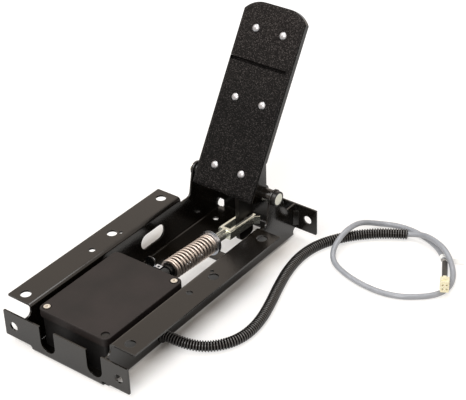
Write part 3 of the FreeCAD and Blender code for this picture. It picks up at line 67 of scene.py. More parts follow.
# Push rod frame, read from the slide joint and the fork pin
ROD_FORWARD = Vector(next(j["axis"] for j in frame["joints"] if j["name"] == "rod_slide"))
ROD_UP = Vector((0.0, ROD_FORWARD.z, -ROD_FORWARD.y))
PIN_LOW, PIN_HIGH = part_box("fork_pin")
ROD_X = 11.0 * MM
FORK_PIN = Vector((ROD_X, (PIN_LOW.y + PIN_HIGH.y) / 2, (PIN_LOW.z + PIN_HIGH.z) / 2))

# Springs: their ends as stations along the rod, and one closed turn at each end
SPRING_NEAR = 65.0 * MM
SPRING_FAR = 131.7 * MM
OUTER_SPRING_D = 23.0 * MM
OUTER_WIRE = 2.5 * MM
OUTER_TURNS = 14.5
INNER_SPRING_D = 17.4 * MM
INNER_WIRE = 1.3 * MM
INNER_TURNS = 18.5
STEPS_PER_TURN = 28
WIRE_SIDES = 12
CLOSED_TURNS = 2.0

# Pedal's face: its lean, its middle between the lowest rivets, and the ways up and out of it
LEAN = math.radians(31.34)
FACE_CENTRE = Vector((0.0, 106.7, 92.0)) * MM
PAD_UP = Vector((0.0, math.sin(LEAN), math.cos(LEAN)))
PAD_OUTWARD = Vector((0.0, -math.cos(LEAN), math.sin(LEAN)))

# Tread: grain size, heights between which painted light turns it paler towards the top, the most of that
# painted light, and the depths below the face between which painted shade darkens the groove, with what
# is left of its tone there, and the grit's faint shine
GRIT_SIZE = 0.7
PAINTED_LIGHT_LOW = 150.0 * MM
PAINTED_LIGHT_HIGH = 230.0 * MM
PAINTED_LIGHT_MOST = 0.45
GROOVE_SHADE = (1.9 * MM, 2.8 * MM)
GROOVE_TONE = 0.4
GRIT_SHINE = 0.1

# Rivets on the pedal's face
RIVET_SPREAD = 35.0 * MM
RIVET_PITCH = 76.0 * MM
RIVET_HEAD_D = 8.8 * MM
RIVET_HEAD = 2.2 * MM
RIVET_SHANK_D = 4.8 * MM
RIVET_GRIP = 7.0 * MM
RIVET_TAIL_D = 7.0 * MM
RIVET_TAIL = 1.2 * MM
RIVET_ROWS = 3
RIVETS_IN_ROW = 2
RIVET_SIDES = 24
DOME_STEPS = 6

# Conduit and cable: the rib's depth is a share of the radius, its wave is cut flat at crest and root,
# and the routes have the same points as the solids
CONDUIT_D = 11.6 * MM
CONDUIT_RIB = 2.8 * MM
CONDUIT_RIB_DEPTH = 0.22
CONDUIT_SIDES = 20
RIB_STEPS = 12
RIB_STEEPNESS = 1.1
RIB_MIDDLE = 0.5
RIB_CREST = "rib_crest"
CABLE_D = 6.0 * MM
CABLE_BEVEL_STEPS = 5
ROUTE_STEPS = 12
ROUTE_ORDER = 3
CONDUIT_ROUTE = [
    (46.5, -72.5, 10.0), (62.0, -72.5, 10.0), (80.0, -68.0, 7.2), (95.0, -60.0, 5.8),
    (106.5, -48.5, 5.8), (114.0, -34.0, 5.8), (117.0, -16.0, 5.8), (114.5, 7.0, 5.8),
    (107.0, 33.0, 5.8), (97.5, 60.0, 5.8), (88.5, 90.0, 5.8), (84.5, 121.0, 5.8),
    (88.5, 148.0, 5.8), (101.0, 172.5, 5.8), (119.5, 194.0, 5.8), (140.5, 210.5, 5.8),
    (158.0, 220.0, 5.8),
]
CABLE_ROUTE = [
    (158.0, 220.0, 5.8), (167.5, 223.6, 7.4), (180.0, 222.5, 10.8), (194.5, 217.5, 12.2),
    (208.5, 211.0, 12.0), (221.0, 202.0, 8.2), (232.0, 189.5, 4.6), (239.3, 174.5, 3.0),
    (241.0, 158.0, 3.0), (235.3, 143.7, 3.0), (223.0, 131.9, 3.0), (206.5, 120.9, 3.0),
    (184.5, 115.7, 3.0), (158.8, 117.7, 3.0), (136.8, 123.5, 3.2), (117.5, 132.6, 4.4),
    (109.0, 146.5, 10.2), (108.2, 168.0, 18.0), (110.2, 190.5, 18.0), (112.3, 208.5, 10.4),
    (120.5, 222.0, 4.4), (136.5, 231.2, 3.0), (155.0, 233.2, 3.0), (172.5, 230.0, 3.0),
    (188.5, 223.8, 3.0), (203.0, 214.6, 3.0), (212.8, 203.6, 3.1),
]

# Floor: half its side in metres and its drop below the part, how far the shaded middle lies inside
# the tray's outline and to its left, the share of plain white seen at each distance out from it, the
# strength of that white in reflections, and what the camera sees on top of it
FLOOR_HALF = 6.0
FLOOR_DROP = 0.2 * MM
SHADE_INSET = 30.0 * MM
SHADE_SHIFT = 7.0 * MM
FLOOR_GLOW = ((0.0, 0.25), (8.0 * MM, 0.0), (12.0 * MM, 0.0), (36.0 * MM, 0.5), (120.0 * MM, 0.4),
              (500.0 * MM, 0.75))
FLOOR_WHITE = 1.1
FLOOR_WHITE_SEEN = 0.2

# Studio light: place in metres, width in metres and power in watts of each softbox, aimed at one
# point, and the strength of the room around them on matt and on glossy surfaces
LIT_POINT = Vector((0.03, 0.03, 0.05))
SOFTBOXES = {
    "key_softbox": ((0.45, -1.2, 1.35), 0.9, 20.0),
    "fill_softbox": ((-1.0, -0.6, 1.5), 1.0, 12.0),
    "top_softbox": ((0.0, 0.5, 1.9), 1.2, 20.0),
    "side_softbox": ((1.5, 0.35, 0.9), 1.0, 4.0),
}
ROOM_ON_MATT = 0.2
ROOM_ON_GLOSS = 1.05

# Surface variation: parts of the noise's range that carry it, and samples on an eased edge
SPECKLE_BAND = (0.35, 0.65)
SPREAD_BAND = (0.3, 0.7)
EDGE_SAMPLES = 6


# Helpers
def linear(code):
    """Linear colour with alpha from an sRGB hex value."""
    channels = [int(code[i:i + 2], 16) / 255 for i in (1, 3, 5)]
    return [c / 12.92 if c <= 0.04045 else ((c + 0.055) / 1.055) ** 2.4 for c in channels] + [1.0]


def add(tree, kind, values=None, links=None, **settings):
    """Adds a node with its settings, socket values and incoming links."""
    node = tree.nodes.new(kind)
    for name, value in settings.items():
        setattr(node, name, value)
    for socket, value in (values or {}).items():
        node.inputs[socket].default_value = value
    for socket, source in (links or {}).items():
        tree.links.new(source, node.inputs[socket])
    return node


def calculator(tree):
    """Function that adds a maths node for numbers and sockets to a tree and gives its result."""
    def calc(operation, *terms):
        values = {i: term for i, term in enumerate(terms) if isinstance(term, (int, float))}
        links = {i: term for i, term in enumerate(terms) if not isinstance(term, (int, float))}
        return add(tree, "ShaderNodeMath", values, links, operation=operation).outputs["Value"]
    return calc


def frame_matrix(right, up, ahead, origin):
    """Placement whose X, Y and Z run along three directions from an origin."""
    matrix = Matrix((right, up, ahead)).transposed().to_4x4()
    matrix.translation = origin
    return matrix


def per_mm(size):
    """Texture scale that gives features of this size in millimetres."""
    return 1 / (size * MM)


def start_finish(name, colour, metallic, roughness, shine=0.5):
    """New material with one surface shader; gives its tree, shader and Object coordinates."""
    material = bpy.data.materials.new(name)
    material.use_nodes = True
    tree = material.node_tree
    tree.nodes.clear()
    values = {"Base Color": linear(colour), "Metallic": metallic, "Roughness": roughness,
              "Specular IOR Level": shine}
    surface = add(tree, "ShaderNodeBsdfPrincipled", values)
    add(tree, "ShaderNodeOutputMaterial", links={"Surface": surface.outputs["BSDF"]})
    place = add(tree, "ShaderNodeTexCoord").outputs["Object"]
    return material, tree, surface, place


def graded(tree, source, steps):
    """Colour ramp over a number, from pairs of position and linear colour in rising order."""
    node = add(tree, "ShaderNodeValToRGB", links={"Fac": source})
    elements = node.color_ramp.elements
    elements[1].position = steps[-1][0]
    elements[0].position = steps[0][0]
    for position, _ in steps[1:-1]:
        elements.new(position)
    for element, (_, colour) in zip(elements, steps):
        element.color = colour
    return node.outputs["Color"]


def speckle(tree, place, size, dark, light, detail=2.0):
    """Colour that drifts between two tones in patches of a given size in millimetres."""
    noise = add(tree, "ShaderNodeTexNoise", {"Scale": per_mm(size), "Detail": detail}, {"Vector": place})
    return graded(tree, noise.outputs["Fac"], list(zip(SPECKLE_BAND, (linear(dark), linear(light)))))


def spread(tree, place, size, low, high):
    """Number that drifts between two values in patches of a given size in millimetres."""
    noise = add(tree, "ShaderNodeTexNoise", {"Scale": per_mm(size)}, {"Vector": place})
    values = {"From Min": SPREAD_BAND[0], "From Max": SPREAD_BAND[1], "To Min": low, "To Max": high}
    return add(tree, "ShaderNodeMapRange", values, {"Value": noise.outputs["Fac"]}).outputs["Result"]


def relief(tree, surface, height, depth, edge=0.0):
    """Bump of a given depth in millimetres, over edges eased by a small radius in millimetres."""
    bump = add(tree, "ShaderNodeBump", {"Distance": depth * MM, "Strength": 1.0}, {"Height": height})
    if edge:
        eased = add(tree, "ShaderNodeBevel", {"Radius": edge * MM}, samples=EDGE_SAMPLES)
        tree.links.new(eased.outputs["Normal"], bump.inputs["Normal"])
    tree.links.new(bump.outputs["Normal"], surface.inputs["Normal"])


# Finishes
def satin_black_stoved_paint():
    """Stoved paint on folded steel: even satin sheen, faint orange peel, eased bright edges."""
    material, tree, surface, place = start_finish("satin_black_stoved_paint", "#0a0908", 0.0, 0.2, 0.52)
    tree.links.new(speckle(tree, place, 60, "#090705", "#0e0b07"), surface.inputs["Base Color"])
    tree.links.new(spread(tree, place, 25, 0.12, 0.19), surface.inputs["Roughness"])
    peel = add(tree, "ShaderNodeTexNoise", {"Scale": per_mm(2.5), "Detail": 1.0}, {"Vector": place})
    relief(tree, surface, peel.outputs["Fac"], 0.03, edge=0.6)
    return material


def fine_textured_lid_paint():
    """Textured paint on a cast lid: matt, with a fine even grain and a little dust."""
    material, tree, surface, place = start_finish("fine_textured_lid_paint", "#181312", 0.0, 0.58, 0.28)
    tree.links.new(speckle(tree, place, 45, "#0f0b0a", "#1e1817", 5.0), surface.inputs["Base Color"])
    grain = add(tree, "ShaderNodeTexNoise", {"Scale": per_mm(0.6), "Detail": 2.0}, {"Vector": place})
    relief(tree, surface, grain.outputs["Fac"], 0.03)
    return material


def matt_black_casting_paint():
    """Thin matt paint on the cast box, nearly hidden below its lid."""
    material, tree, surface, place = start_finish("matt_black_casting_paint", "#0f0e0e", 0.0, 0.6, 0.3)
    grain = add(tree, "ShaderNodeTexNoise", {"Scale": per_mm(0.8)}, {"Vector": place})
    relief(tree, surface, grain.outputs["Fac"], 0.03)
    return material


def gritty_tread_sheet():
    """Mineral grit bonded on the pads: dull black with single bright grains, made paler towards the top
    by painted light, and black in the groove by painted shade.
    The grit is drawn coarser than real, so that it shows in the render."""
    material, tree, surface, place = start_finish("gritty_tread_sheet", "#060606", 0.0, 0.65,
                                                  GRIT_SHINE)
    grains = add(tree, "ShaderNodeTexVoronoi", {"Scale": per_mm(GRIT_SIZE)}, {"Vector": place})
    pick = add(tree, "ShaderNodeSeparateColor", links={"Color": grains.outputs["Color"]})
    shaded_grit = graded(tree, pick.outputs["Red"],
                   [(0.0, linear("#020202")), (0.76, linear("#040404")), (1.0, linear("#413d3c"))])
    lit_grit = graded(tree, pick.outputs["Red"],
                  [(0.0, linear("#191514")), (0.72, linear("#1b1716")), (1.0, linear("#625c59"))])
    # Painted light: higher up the pedal the grit is mixed towards a lighter copy of itself, where more
    # light falls
    height = add(tree, "ShaderNodeSeparateXYZ", links={"Vector": place}).outputs["Z"]
    values = {"From Min": PAINTED_LIGHT_LOW, "From Max": PAINTED_LIGHT_HIGH, "To Min": 0.0, "To Max": PAINTED_LIGHT_MOST}
    painted_light = add(tree, "ShaderNodeMapRange", values, {"Value": height}).outputs["Result"]
    lit_tread = add(tree, "ShaderNodeMixRGB", links={"Fac": painted_light, "Color1": shaded_grit, "Color2": lit_grit})
    # Painted shade: below the pads' face the groove is darkened towards #010101 and its shine is cut
    above = add(tree, "ShaderNodeVectorMath", {1: PAD_OUTWARD}, {0: place}, operation="DOT_PRODUCT")
    face = FACE_CENTRE.dot(PAD_OUTWARD)
    values = {"From Min": face - GROOVE_SHADE[1], "From Max": face - GROOVE_SHADE[0],
              "To Min": GROOVE_TONE}
    groove_shade_fac = add(tree, "ShaderNodeMapRange", values, {"Value": above.outputs["Value"]}).outputs["Result"]
    colour = add(tree, "ShaderNodeMixRGB", {"Color1": linear("#010101")},
                 {"Fac": groove_shade_fac, "Color2": lit_tread.outputs["Color"]})
    tree.links.new(colour.outputs["Color"], surface.inputs["Base Color"])
    gloss = add(tree, "ShaderNodeMath", {1: GRIT_SHINE}, {0: groove_shade_fac}, operation="MULTIPLY")
    tree.links.new(gloss.outputs["Value"], surface.inputs["Specular IOR Level"])
    values = {"To Min": 0.75, "To Max": 0.35}
    shine = add(tree, "ShaderNodeMapRange", values, {"Value": pick.outputs["Green"]})
    tree.links.new(shine.outputs["Result"], surface.inputs["Roughness"])
    relief(tree, surface, grains.outputs["Distance"], 0.18)
    return material


def bright_zinc_plate():
    """Clear-passivated zinc on small hardware: bright silver with a soft sheen."""
    material, tree, surface, place = start_finish("bright_zinc_plate", "#dedbd4", 1.0, 0.22)
    tree.links.new(spread(tree, place, 6, 0.16, 0.28), surface.inputs["Roughness"])
    return material


def tumbled_zinc_plate():
    """Zinc tumbled in bulk, on the rivets: even grey silver with a broad soft highlight."""
    material, tree, surface, place = start_finish("tumbled_zinc_plate", "#a7a8ac", 1.0, 0.36)
    tree.links.new(spread(tree, place, 8, 0.32, 0.4), surface.inputs["Roughness"])
    return material


def satin_zinc_plate():
    """Zinc over a machined end, on the pivot pin: pale and satin, with a faint green cast."""
    return start_finish("satin_zinc_plate", "#e9ebdf", 0.45, 0.4)[0]


def blue_zinc_plate():
    """Blue-passivated zinc: cool silver that drifts towards blue."""
    material, tree, surface, place = start_finish("blue_zinc_plate", "#bcc4ce", 1.0, 0.32)
    tree.links.new(speckle(tree, place, 12, "#b4bcc8", "#ced3da"), surface.inputs["Base Color"])
    tree.links.new(spread(tree, place, 10, 0.24, 0.32), surface.inputs["Roughness"])
    return material


def warm_zinc_plate():
    """Yellow-passivated zinc on the drawn fork: greenish straw-coloured silver."""
    material, tree, surface, place = start_finish("warm_zinc_plate", "#d2cfc0", 0.85, 0.2)
    tree.links.new(speckle(tree, place, 8, "#cfd0c2", "#e6e8de"), surface.inputs["Base Color"])
    tree.links.new(spread(tree, place, 8, 0.16, 0.26), surface.inputs["Roughness"])
    return material


def oil_tempered_spring_wire():
    """Drawn and tempered wire: brown-tinted steel with a narrow highlight along each turn."""
    material, tree, surface, place = start_finish("oil_tempered_spring_wire", "#b4a89f", 0.85, 0.38)
    tree.links.new(speckle(tree, place, 12, "#b0a59c", "#c0b5ac"), surface.inputs["Base Color"])
    return material


def shaded_inner_spring_wire():
    """Same wire as the outer spring, darkened as painted shade where it sits inside it: dark, with a
    faint brown sheen.
    """
    return start_finish("shaded_inner_spring_wire", "#4a423d", 0.8, 0.42)[0]


def plain_rolled_steel():
    """Black-oiled rolled plate: dark with a dull metal sheen."""
    material, tree, surface, place = start_finish("plain_rolled_steel", "#1a1816", 0.5, 0.4)
    tree.links.new(speckle(tree, place, 10, "#161412", "#201d1a"), surface.inputs["Base Color"])
    return material


def moulded_black_nylon():
    """Injection-moulded black nylon: deep black with a soft broad highlight."""
    material, tree, surface, place = start_finish("moulded_black_nylon", "#0a0a0a", 0.0, 0.28, 0.4)
    tree.links.new(spread(tree, place, 6, 0.24, 0.34), surface.inputs["Roughness"])
    return material


def soft_black_rubber():
    """Moulded rubber seal: matt black."""
    return start_finish("soft_black_rubber", "#171717", 0.0, 0.75)[0]


def ribbed_conduit_nylon():
    """Extruded and corrugated nylon tube: black, with painted reflection full on each rib's crest and
    painted shade in the grooves between.
    """
    material, tree, surface, place = start_finish("ribbed_conduit_nylon", "#0d0c0b", 0.0, 0.3, 0.9)
    tree.links.new(spread(tree, place, 12, 0.26, 0.36), surface.inputs["Roughness"])
    # Painted reflection and shade: the shine follows the rib's height, full on crests and none in the
    # grooves
    crest = add(tree, "ShaderNodeAttribute", attribute_name=RIB_CREST).outputs["Fac"]
    tree.links.new(crest, surface.inputs["Specular IOR Level"])
    return material


def grey_cable_sheath():
    """Extruded vinyl sheath: mid grey, slightly glossy."""
    material, tree, surface, place = start_finish("grey_cable_sheath", "#94979d", 0.0, 0.34, 0.62)
    tree.links.new(speckle(tree, place, 14, "#8f9298", "#9a9da3"), surface.inputs["Base Color"])
    return material


def tinned_braid():
    """Bared cable screen: fine tinned wires, drawn as a 0.6 mm mottle."""
    material, tree, surface, place = start_finish("tinned_braid", "#b9b9b8", 1.0, 0.4)
    tree.links.new(speckle(tree, place, 0.6, "#8f8f8e", "#d2d2d0"), surface.inputs["Base Color"])
    return material


def dark_wire_wrap():
    """Vinyl tape wound on the bared wires: dark with a faint sheen."""
    return start_finish("dark_wire_wrap", "#2a2826", 0.0, 0.5)[0]


def natural_nylon():
    """Unpigmented moulded nylon: cream, a little translucent."""
    material, _, surface, _ = start_finish("natural_nylon", "#e8e1c2", 0.0, 0.42)
    surface.inputs["Subsurface Weight"].default_value = 0.25
    surface.inputs["Subsurface Radius"].default_value = (1.2 * MM, 1.0 * MM, 0.7 * MM)
    return material


def blank_white_film():
    """Printable vinyl film left blank: clean white."""
    return start_finish("blank_white_film", "#efefec", 0.0, 0.55)[0]


def green_circuit_board():
    """Solder-masked board: deep green with a resin gloss."""
    return start_finish("green_circuit_board", "#1d5a36", 0.0, 0.35)[0]


TRAY_PAINT = satin_black_stoved_paint()
ZINC = bright_zinc_plate()
RIVET_ZINC = tumbled_zinc_plate()
BLUE_ZINC = blue_zinc_plate()
WARM_ZINC = warm_zinc_plate()
SPRING_WIRE = oil_tempered_spring_wire()
# Painted shade: the inner spring gets a darkened copy of the spring wire
INNER_SPRING_WIRE = shaded_inner_spring_wire()
NYLON = moulded_black_nylon()
RUBBER = soft_black_rubber()
GRIT = gritty_tread_sheet()
CONDUIT_NYLON = ribbed_conduit_nylon()
CABLE_VINYL = grey_cable_sheath()

NODE_FINISHES = {
    "base_tray": TRAY_PAINT, "pedal_plate": TRAY_PAINT, "hinge_tube": TRAY_PAINT,
    "sensor_housing": matt_black_casting_paint(), "housing_lid": fine_textured_lid_paint(),
    "lid_gasket": RUBBER, "rod_seal": RUBBER, "wall_grommet": RUBBER,
    "lid_screws": ZINC, "board_screws": ZINC, "push_rod": ZINC, "fork_pin": ZINC,
    "pivot_pin": satin_zinc_plate(), "pin_clip": ZINC, "magnet": ZINC,
    "housing_screws": BLUE_ZINC, "spring_bracket": BLUE_ZINC, "bracket_screws": BLUE_ZINC,
    "bracket_nuts": BLUE_ZINC, "spring_washers": BLUE_ZINC, "tail_washer": NYLON,
    "stop_ring": WARM_ZINC, "fork_head": WARM_ZINC, "fork_clip": WARM_ZINC,
    "lid_plug": NYLON, "cable_gland": NYLON, "gland_nut": NYLON, "bracket_plug": NYLON,
    "guide_bush": NYLON, "magnet_holder": NYLON, "head_washer": NYLON, "hall_sensor": NYLON,
    "sensor_board": green_circuit_board(), "pivot_bushes": NYLON,
    "lower_pad": GRIT, "upper_pad": GRIT, "lever_plate": plain_rolled_steel(),
    "cable_shield": tinned_braid(), "wire_sleeve": dark_wire_wrap(),
    "cable_connector": natural_nylon(), "cable_flag": blank_white_film(),
}


def dress_nodes():
    """Gives each kept solid its finish."""
    for name, finish in NODE_FINISHES.items():
        mesh = frame["nodes"][name].data
        mesh.materials.clear()
        mesh.materials.append(finish)


# Node trees
def start_tree(name, inputs):
    """New geometry tree with named inputs, given as name: socket type."""
    tree = bpy.data.node_groups.new(name, "GeometryNodeTree")
    for label, kind in inputs.items():
        tree.interface.new_socket(label, in_out="INPUT", socket_type=kind)
    tree.interface.new_socket("Geometry", in_out="OUTPUT", socket_type="NodeSocketGeometry")
    return tree, add(tree, "NodeGroupInput").outputs


def end_tree(tree, geometry, material):
    """Smooth shading, real geometry and one material, as the tree's output."""
    smooth = add(tree, "GeometryNodeSetShadeSmooth", links={"Geometry": geometry})
    real = add(tree, "GeometryNodeRealizeInstances", links={"Geometry": smooth.outputs["Geometry"]})
    links = {"Geometry": real.outputs["Geometry"], "Material": material}
    coated = add(tree, "GeometryNodeSetMaterial", links=links)
    add(tree, "NodeGroupOutput", links={"Geometry": coated.outputs["Geometry"]})
    return tree


def grown(name, tree, sizes, seed):
    """Plain mesh object that a tree makes from a seed object, which is then removed."""
    SCENE.collection.objects.link(seed)
    modifier = seed.modifiers.new(name, "NODES")
    modifier.node_group = tree
    for socket in tree.interface.items_tree:
        if socket.in_out == "INPUT" and socket.name in sizes:
            modifier[socket.identifier] = sizes[socket.name]
    depsgraph = bpy.context.evaluated_depsgraph_get()
    mesh = bpy.data.meshes.new_from_object(seed.evaluated_get(depsgraph))
    mesh.name = name
    seed.modifiers.remove(modifier)
    bpy.data.objects.remove(seed)
    piece = bpy.data.objects.new(name, mesh)
    SCENE.collection.objects.link(piece)
    return piece


def coil_tree():
    """Round-wire compression spring along Z, with one closed turn at each end."""
    sizes = {"Turns": "NodeSocketFloat", "Coil Radius": "NodeSocketFloat", "Wire": "NodeSocketFloat",
             "Length": "NodeSocketFloat", "Hand": "NodeSocketFloat", "Steps": "NodeSocketInt",
             "Finish": "NodeSocketMaterial"}
    tree, size = start_tree("coil_spring", sizes)
    calc = calculator(tree)
    count = calc("MULTIPLY", size["Turns"], size["Steps"])
    line = add(tree, "GeometryNodeCurvePrimitiveLine", {"End": (0.0, 0.0, 1.0)})
    steps = add(tree, "GeometryNodeResampleCurve", links={"Curve": line.outputs["Curve"], "Count": count})
    turn = calc("MULTIPLY", add(tree, "GeometryNodeSplineParameter").outputs["Factor"], size["Turns"])
    angle = calc("MULTIPLY", calc("MULTIPLY", turn, 2 * math.pi), size["Hand"])
    open_turns = calc("SUBTRACT", size["Turns"], CLOSED_TURNS)
    body = calc("MULTIPLY_ADD", size["Wire"], -(CLOSED_TURNS + 1), size["Length"])
    past_end = calc("SUBTRACT", turn, CLOSED_TURNS / 2)
    middle_turn = calc("MINIMUM", calc("MAXIMUM", past_end, 0.0), open_turns)
    closed_turn = calc("SUBTRACT", turn, middle_turn)
    rise = calc("MULTIPLY", middle_turn, calc("DIVIDE", body, open_turns))
    height = calc("ADD", calc("MULTIPLY", calc("ADD", closed_turn, 0.5), size["Wire"]), rise)
    across = calc("MULTIPLY", calc("COSINE", angle), size["Coil Radius"])
    up = calc("MULTIPLY", calc("SINE", angle), size["Coil Radius"])
    place = add(tree, "ShaderNodeCombineXYZ", links={"X": across, "Y": up, "Z": height})
    links = {"Geometry": steps.outputs["Curve"], "Position": place.outputs["Vector"]}
    helix = add(tree, "GeometryNodeSetPosition", links=links)
    wire = add(tree, "GeometryNodeCurvePrimitiveCircle", {"Resolution": WIRE_SIDES},
               {"Radius": calc("MULTIPLY", size["Wire"], 0.5)})
    links = {"Curve": helix.outputs["Geometry"], "Profile Curve": wire.outputs["Curve"]}
    coil = add(tree, "GeometryNodeCurveToMesh", {"Fill Caps": True}, links)
    return end_tree(tree, coil.outputs["Mesh"], size["Finish"])


def rivet_tree():
    """Rivets on a grid of rows."""
    sizes = {"Rivet": "NodeSocketObject", "Spread": "NodeSocketFloat", "Rows Length": "NodeSocketFloat",
             "Finish": "NodeSocketMaterial"}
    tree, size = start_tree("rivet_rows", sizes)
    grid = add(tree, "GeometryNodeMeshGrid", {"Vertices X": RIVETS_IN_ROW, "Vertices Y": RIVET_ROWS},
               {"Size X": size["Spread"], "Size Y": size["Rows Length"]})
    rivet = add(tree, "GeometryNodeObjectInfo", {"As Instance": True}, {"Object": size["Rivet"]})
    links = {"Points": grid.outputs["Mesh"], "Instance": rivet.outputs["Geometry"]}
    rows = add(tree, "GeometryNodeInstanceOnPoints", links=links)
    return end_tree(tree, rows.outputs["Instances"], size["Finish"])


def rib_tree():
    """Corrugated tube along the seed's curve, with each point's height on its rib as an attribute."""
    sizes = {"Geometry": "NodeSocketGeometry", "Radius": "NodeSocketFloat", "Rib": "NodeSocketFloat",
             "Depth": "NodeSocketFloat", "Finish": "NodeSocketMaterial"}
    tree, size = start_tree("ribbed_tube", sizes)
    calc = calculator(tree)
    step = calc("DIVIDE", size["Rib"], RIB_STEPS)
    steps = add(tree, "GeometryNodeResampleCurve", links={"Curve": size["Geometry"], "Length": step},
                mode="LENGTH")
    along = add(tree, "GeometryNodeSplineParameter").outputs["Length"]
    turn = calc("MULTIPLY", calc("DIVIDE", along, size["Rib"]), 2 * math.pi)
    swing = calc("MULTIPLY_ADD", calc("SINE", turn), RIB_STEEPNESS, RIB_MIDDLE)
    wave = calc("MINIMUM", calc("MAXIMUM", swing, 0.0), 1.0)
    groove = calc("MULTIPLY", calc("SUBTRACT", 1.0, wave), size["Depth"])
    scale = calc("MULTIPLY", calc("SUBTRACT", 1.0, groove), size["Radius"])
    ring = add(tree, "GeometryNodeCurvePrimitiveCircle", {"Resolution": CONDUIT_SIDES, "Radius": 1.0})
    marked = add(tree, "GeometryNodeStoreNamedAttribute", {"Name": RIB_CREST},
                 {"Geometry": steps.outputs["Curve"], "Value": wave}, data_type="FLOAT", domain="POINT")
    links = {"Curve": marked.outputs["Geometry"], "Profile Curve": ring.outputs["Curve"], "Scale": scale}
    tube = add(tree, "GeometryNodeCurveToMesh", {"Fill Caps": True}, links)
    return end_tree(tree, tube.outputs["Mesh"], size["Finish"])


# Pieces
def turned_rivet(name):
    """One domed rivet, turned about Z: head above the face, shank and tail below it."""
    head = RIVET_HEAD_D / 2
    angles = [math.pi / 2 * i / DOME_STEPS for i in range(1, DOME_STEPS + 1)]
    dome = [(head * math.sin(a), RIVET_HEAD * math.cos(a)) for a in angles]
    shank = RIVET_SHANK_D / 2
    tail = RIVET_TAIL_D / 2
    low = -RIVET_GRIP - RIVET_TAIL
    profile = dome + [(shank, 0.0), (shank, -RIVET_GRIP), (tail, -RIVET_GRIP), (tail, low)]
    steps = RIVET_SIDES
    points = [(0.0, 0.0, RIVET_HEAD)]
    for radius, height in profile:
        for i in range(steps):
            angle = 2 * math.pi * i / steps
            points.append((radius * math.cos(angle), radius * math.sin(angle), height))
    points.append((0.0, 0.0, low))
    faces = []
    for i in range(steps):
        following = (i + 1) % steps
        faces.append((0, 1 + i, 1 + following))
        for ring in range(len(profile) - 1):
            upper = 1 + ring * steps
            lower = upper + steps
            faces.append((upper + i, lower + i, lower + following, upper + following))
        last = 1 + (len(profile) - 1) * steps
        faces.append((last + following, last + i, len(points) - 1))
    mesh = bpy.data.meshes.new(name)
    mesh.from_pydata(points, [], faces)
    return bpy.data.objects.new(name, mesh)


def pad_rivets():
    """The six rivets, on the pads' face about its middle row."""
    rivet = turned_rivet("rivet_seed")
    rows_length = (RIVET_ROWS - 1) * RIVET_PITCH
    sizes = {"Rivet": rivet, "Spread": RIVET_SPREAD, "Rows Length": rows_length, "Finish": RIVET_ZINC}
    seed = bpy.data.objects.new("rivet_rows_seed", bpy.data.meshes.new("rivet_rows_seed"))
    piece = grown("domed_rivets", rivet_tree(), sizes, seed)
    bpy.data.objects.remove(rivet)
    middle = FACE_CENTRE + PAD_UP * (rows_length / 2)
    piece.data.transform(frame_matrix(Vector((1.0, 0.0, 0.0)), PAD_UP, PAD_OUTWARD, middle))
    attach(piece, "pedal")
    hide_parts("pad_rivets")


def springs():
    """Both springs along the rod from their seat on the bracket, fixed to the base."""
    tree = coil_tree()
    rod_frame = frame_matrix(Vector((1.0, 0.0, 0.0)), ROD_UP, ROD_FORWARD, FORK_PIN)
    length = SPRING_FAR - SPRING_NEAR
    coils = {"outer_spring": (OUTER_SPRING_D, OUTER_WIRE, OUTER_TURNS, 1.0, SPRING_WIRE),
             "inner_spring": (INNER_SPRING_D, INNER_WIRE, INNER_TURNS, -1.0, INNER_SPRING_WIRE)}
    for node, (diameter, wire, turns, hand, finish) in coils.items():
        sizes = {"Turns": turns, "Coil Radius": (diameter - wire) / 2, "Wire": wire, "Length": length,
                 "Hand": hand, "Steps": STEPS_PER_TURN, "Finish": finish}
        seed = bpy.data.objects.new(node + "_seed", bpy.data.meshes.new(node + "_seed"))
        piece = grown(node + "_wire", tree, sizes, seed)
        piece.data.transform(rod_frame @ Matrix.Translation((0.0, 0.0, SPRING_NEAR)))
        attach(piece, "base")
        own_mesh(piece)
        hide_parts(node)


def route_curve(name, route):
    """Smooth open curve through a route given in millimetres."""
    data = bpy.data.curves.new(name, "CURVE")
    data.dimensions = "3D"
    data.resolution_u = ROUTE_STEPS
    spline = data.splines.new("NURBS")
    spline.points.add(len(route) - 1)
    for point, place in zip(spline.points, route):
        point.co = (*(Vector(place) * MM), 1.0)
    spline.order_u = ROUTE_ORDER
    spline.use_endpoint_u = True
    return bpy.data.objects.new(name, data)


def route_line(name, route):
    """Points along a route's curve and their length."""
    curve = route_curve(name, route)
    SCENE.collection.objects.link(curve)
    depsgraph = bpy.context.evaluated_depsgraph_get()
    mesh = bpy.data.meshes.new_from_object(curve.evaluated_get(depsgraph))
    points = [v.co.copy() for v in mesh.vertices]
    bpy.data.objects.remove(curve)
    bpy.data.meshes.remove(mesh)
    length = sum((b - a).length for a, b in zip(points, points[1:]))
    return points, length


def conduit():
    """Ribbed tube from the tray's wall to its open end."""
    points, length = route_line("conduit_line", CONDUIT_ROUTE)
    sizes = {"Radius": CONDUIT_D / 2, "Rib": CONDUIT_RIB, "Depth": CONDUIT_RIB_DEPTH,
             "Finish": CONDUIT_NYLON}
    piece = grown("ribbed_conduit", rib_tree(), sizes, route_curve("conduit_seed", CONDUIT_ROUTE))
    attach(piece, "base")
    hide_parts("conduit")
    tuple(points[0])
    [tuple(p) for p in points]


def cable():
    """Grey cable from the conduit's end round to the connector."""
    points, length = route_line("cable_line", CABLE_ROUTE)
    piece = route_curve("grey_cable", CABLE_ROUTE)
    SCENE.collection.objects.link(piece)
    piece.data.bevel_depth = CABLE_D / 2
    piece.data.bevel_resolution = CABLE_BEVEL_STEPS
    piece.data.use_fill_caps = True
    piece.data.materials.append(CABLE_VINYL)
    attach(piece, "base")
    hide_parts("cable")
    tuple(points[0])


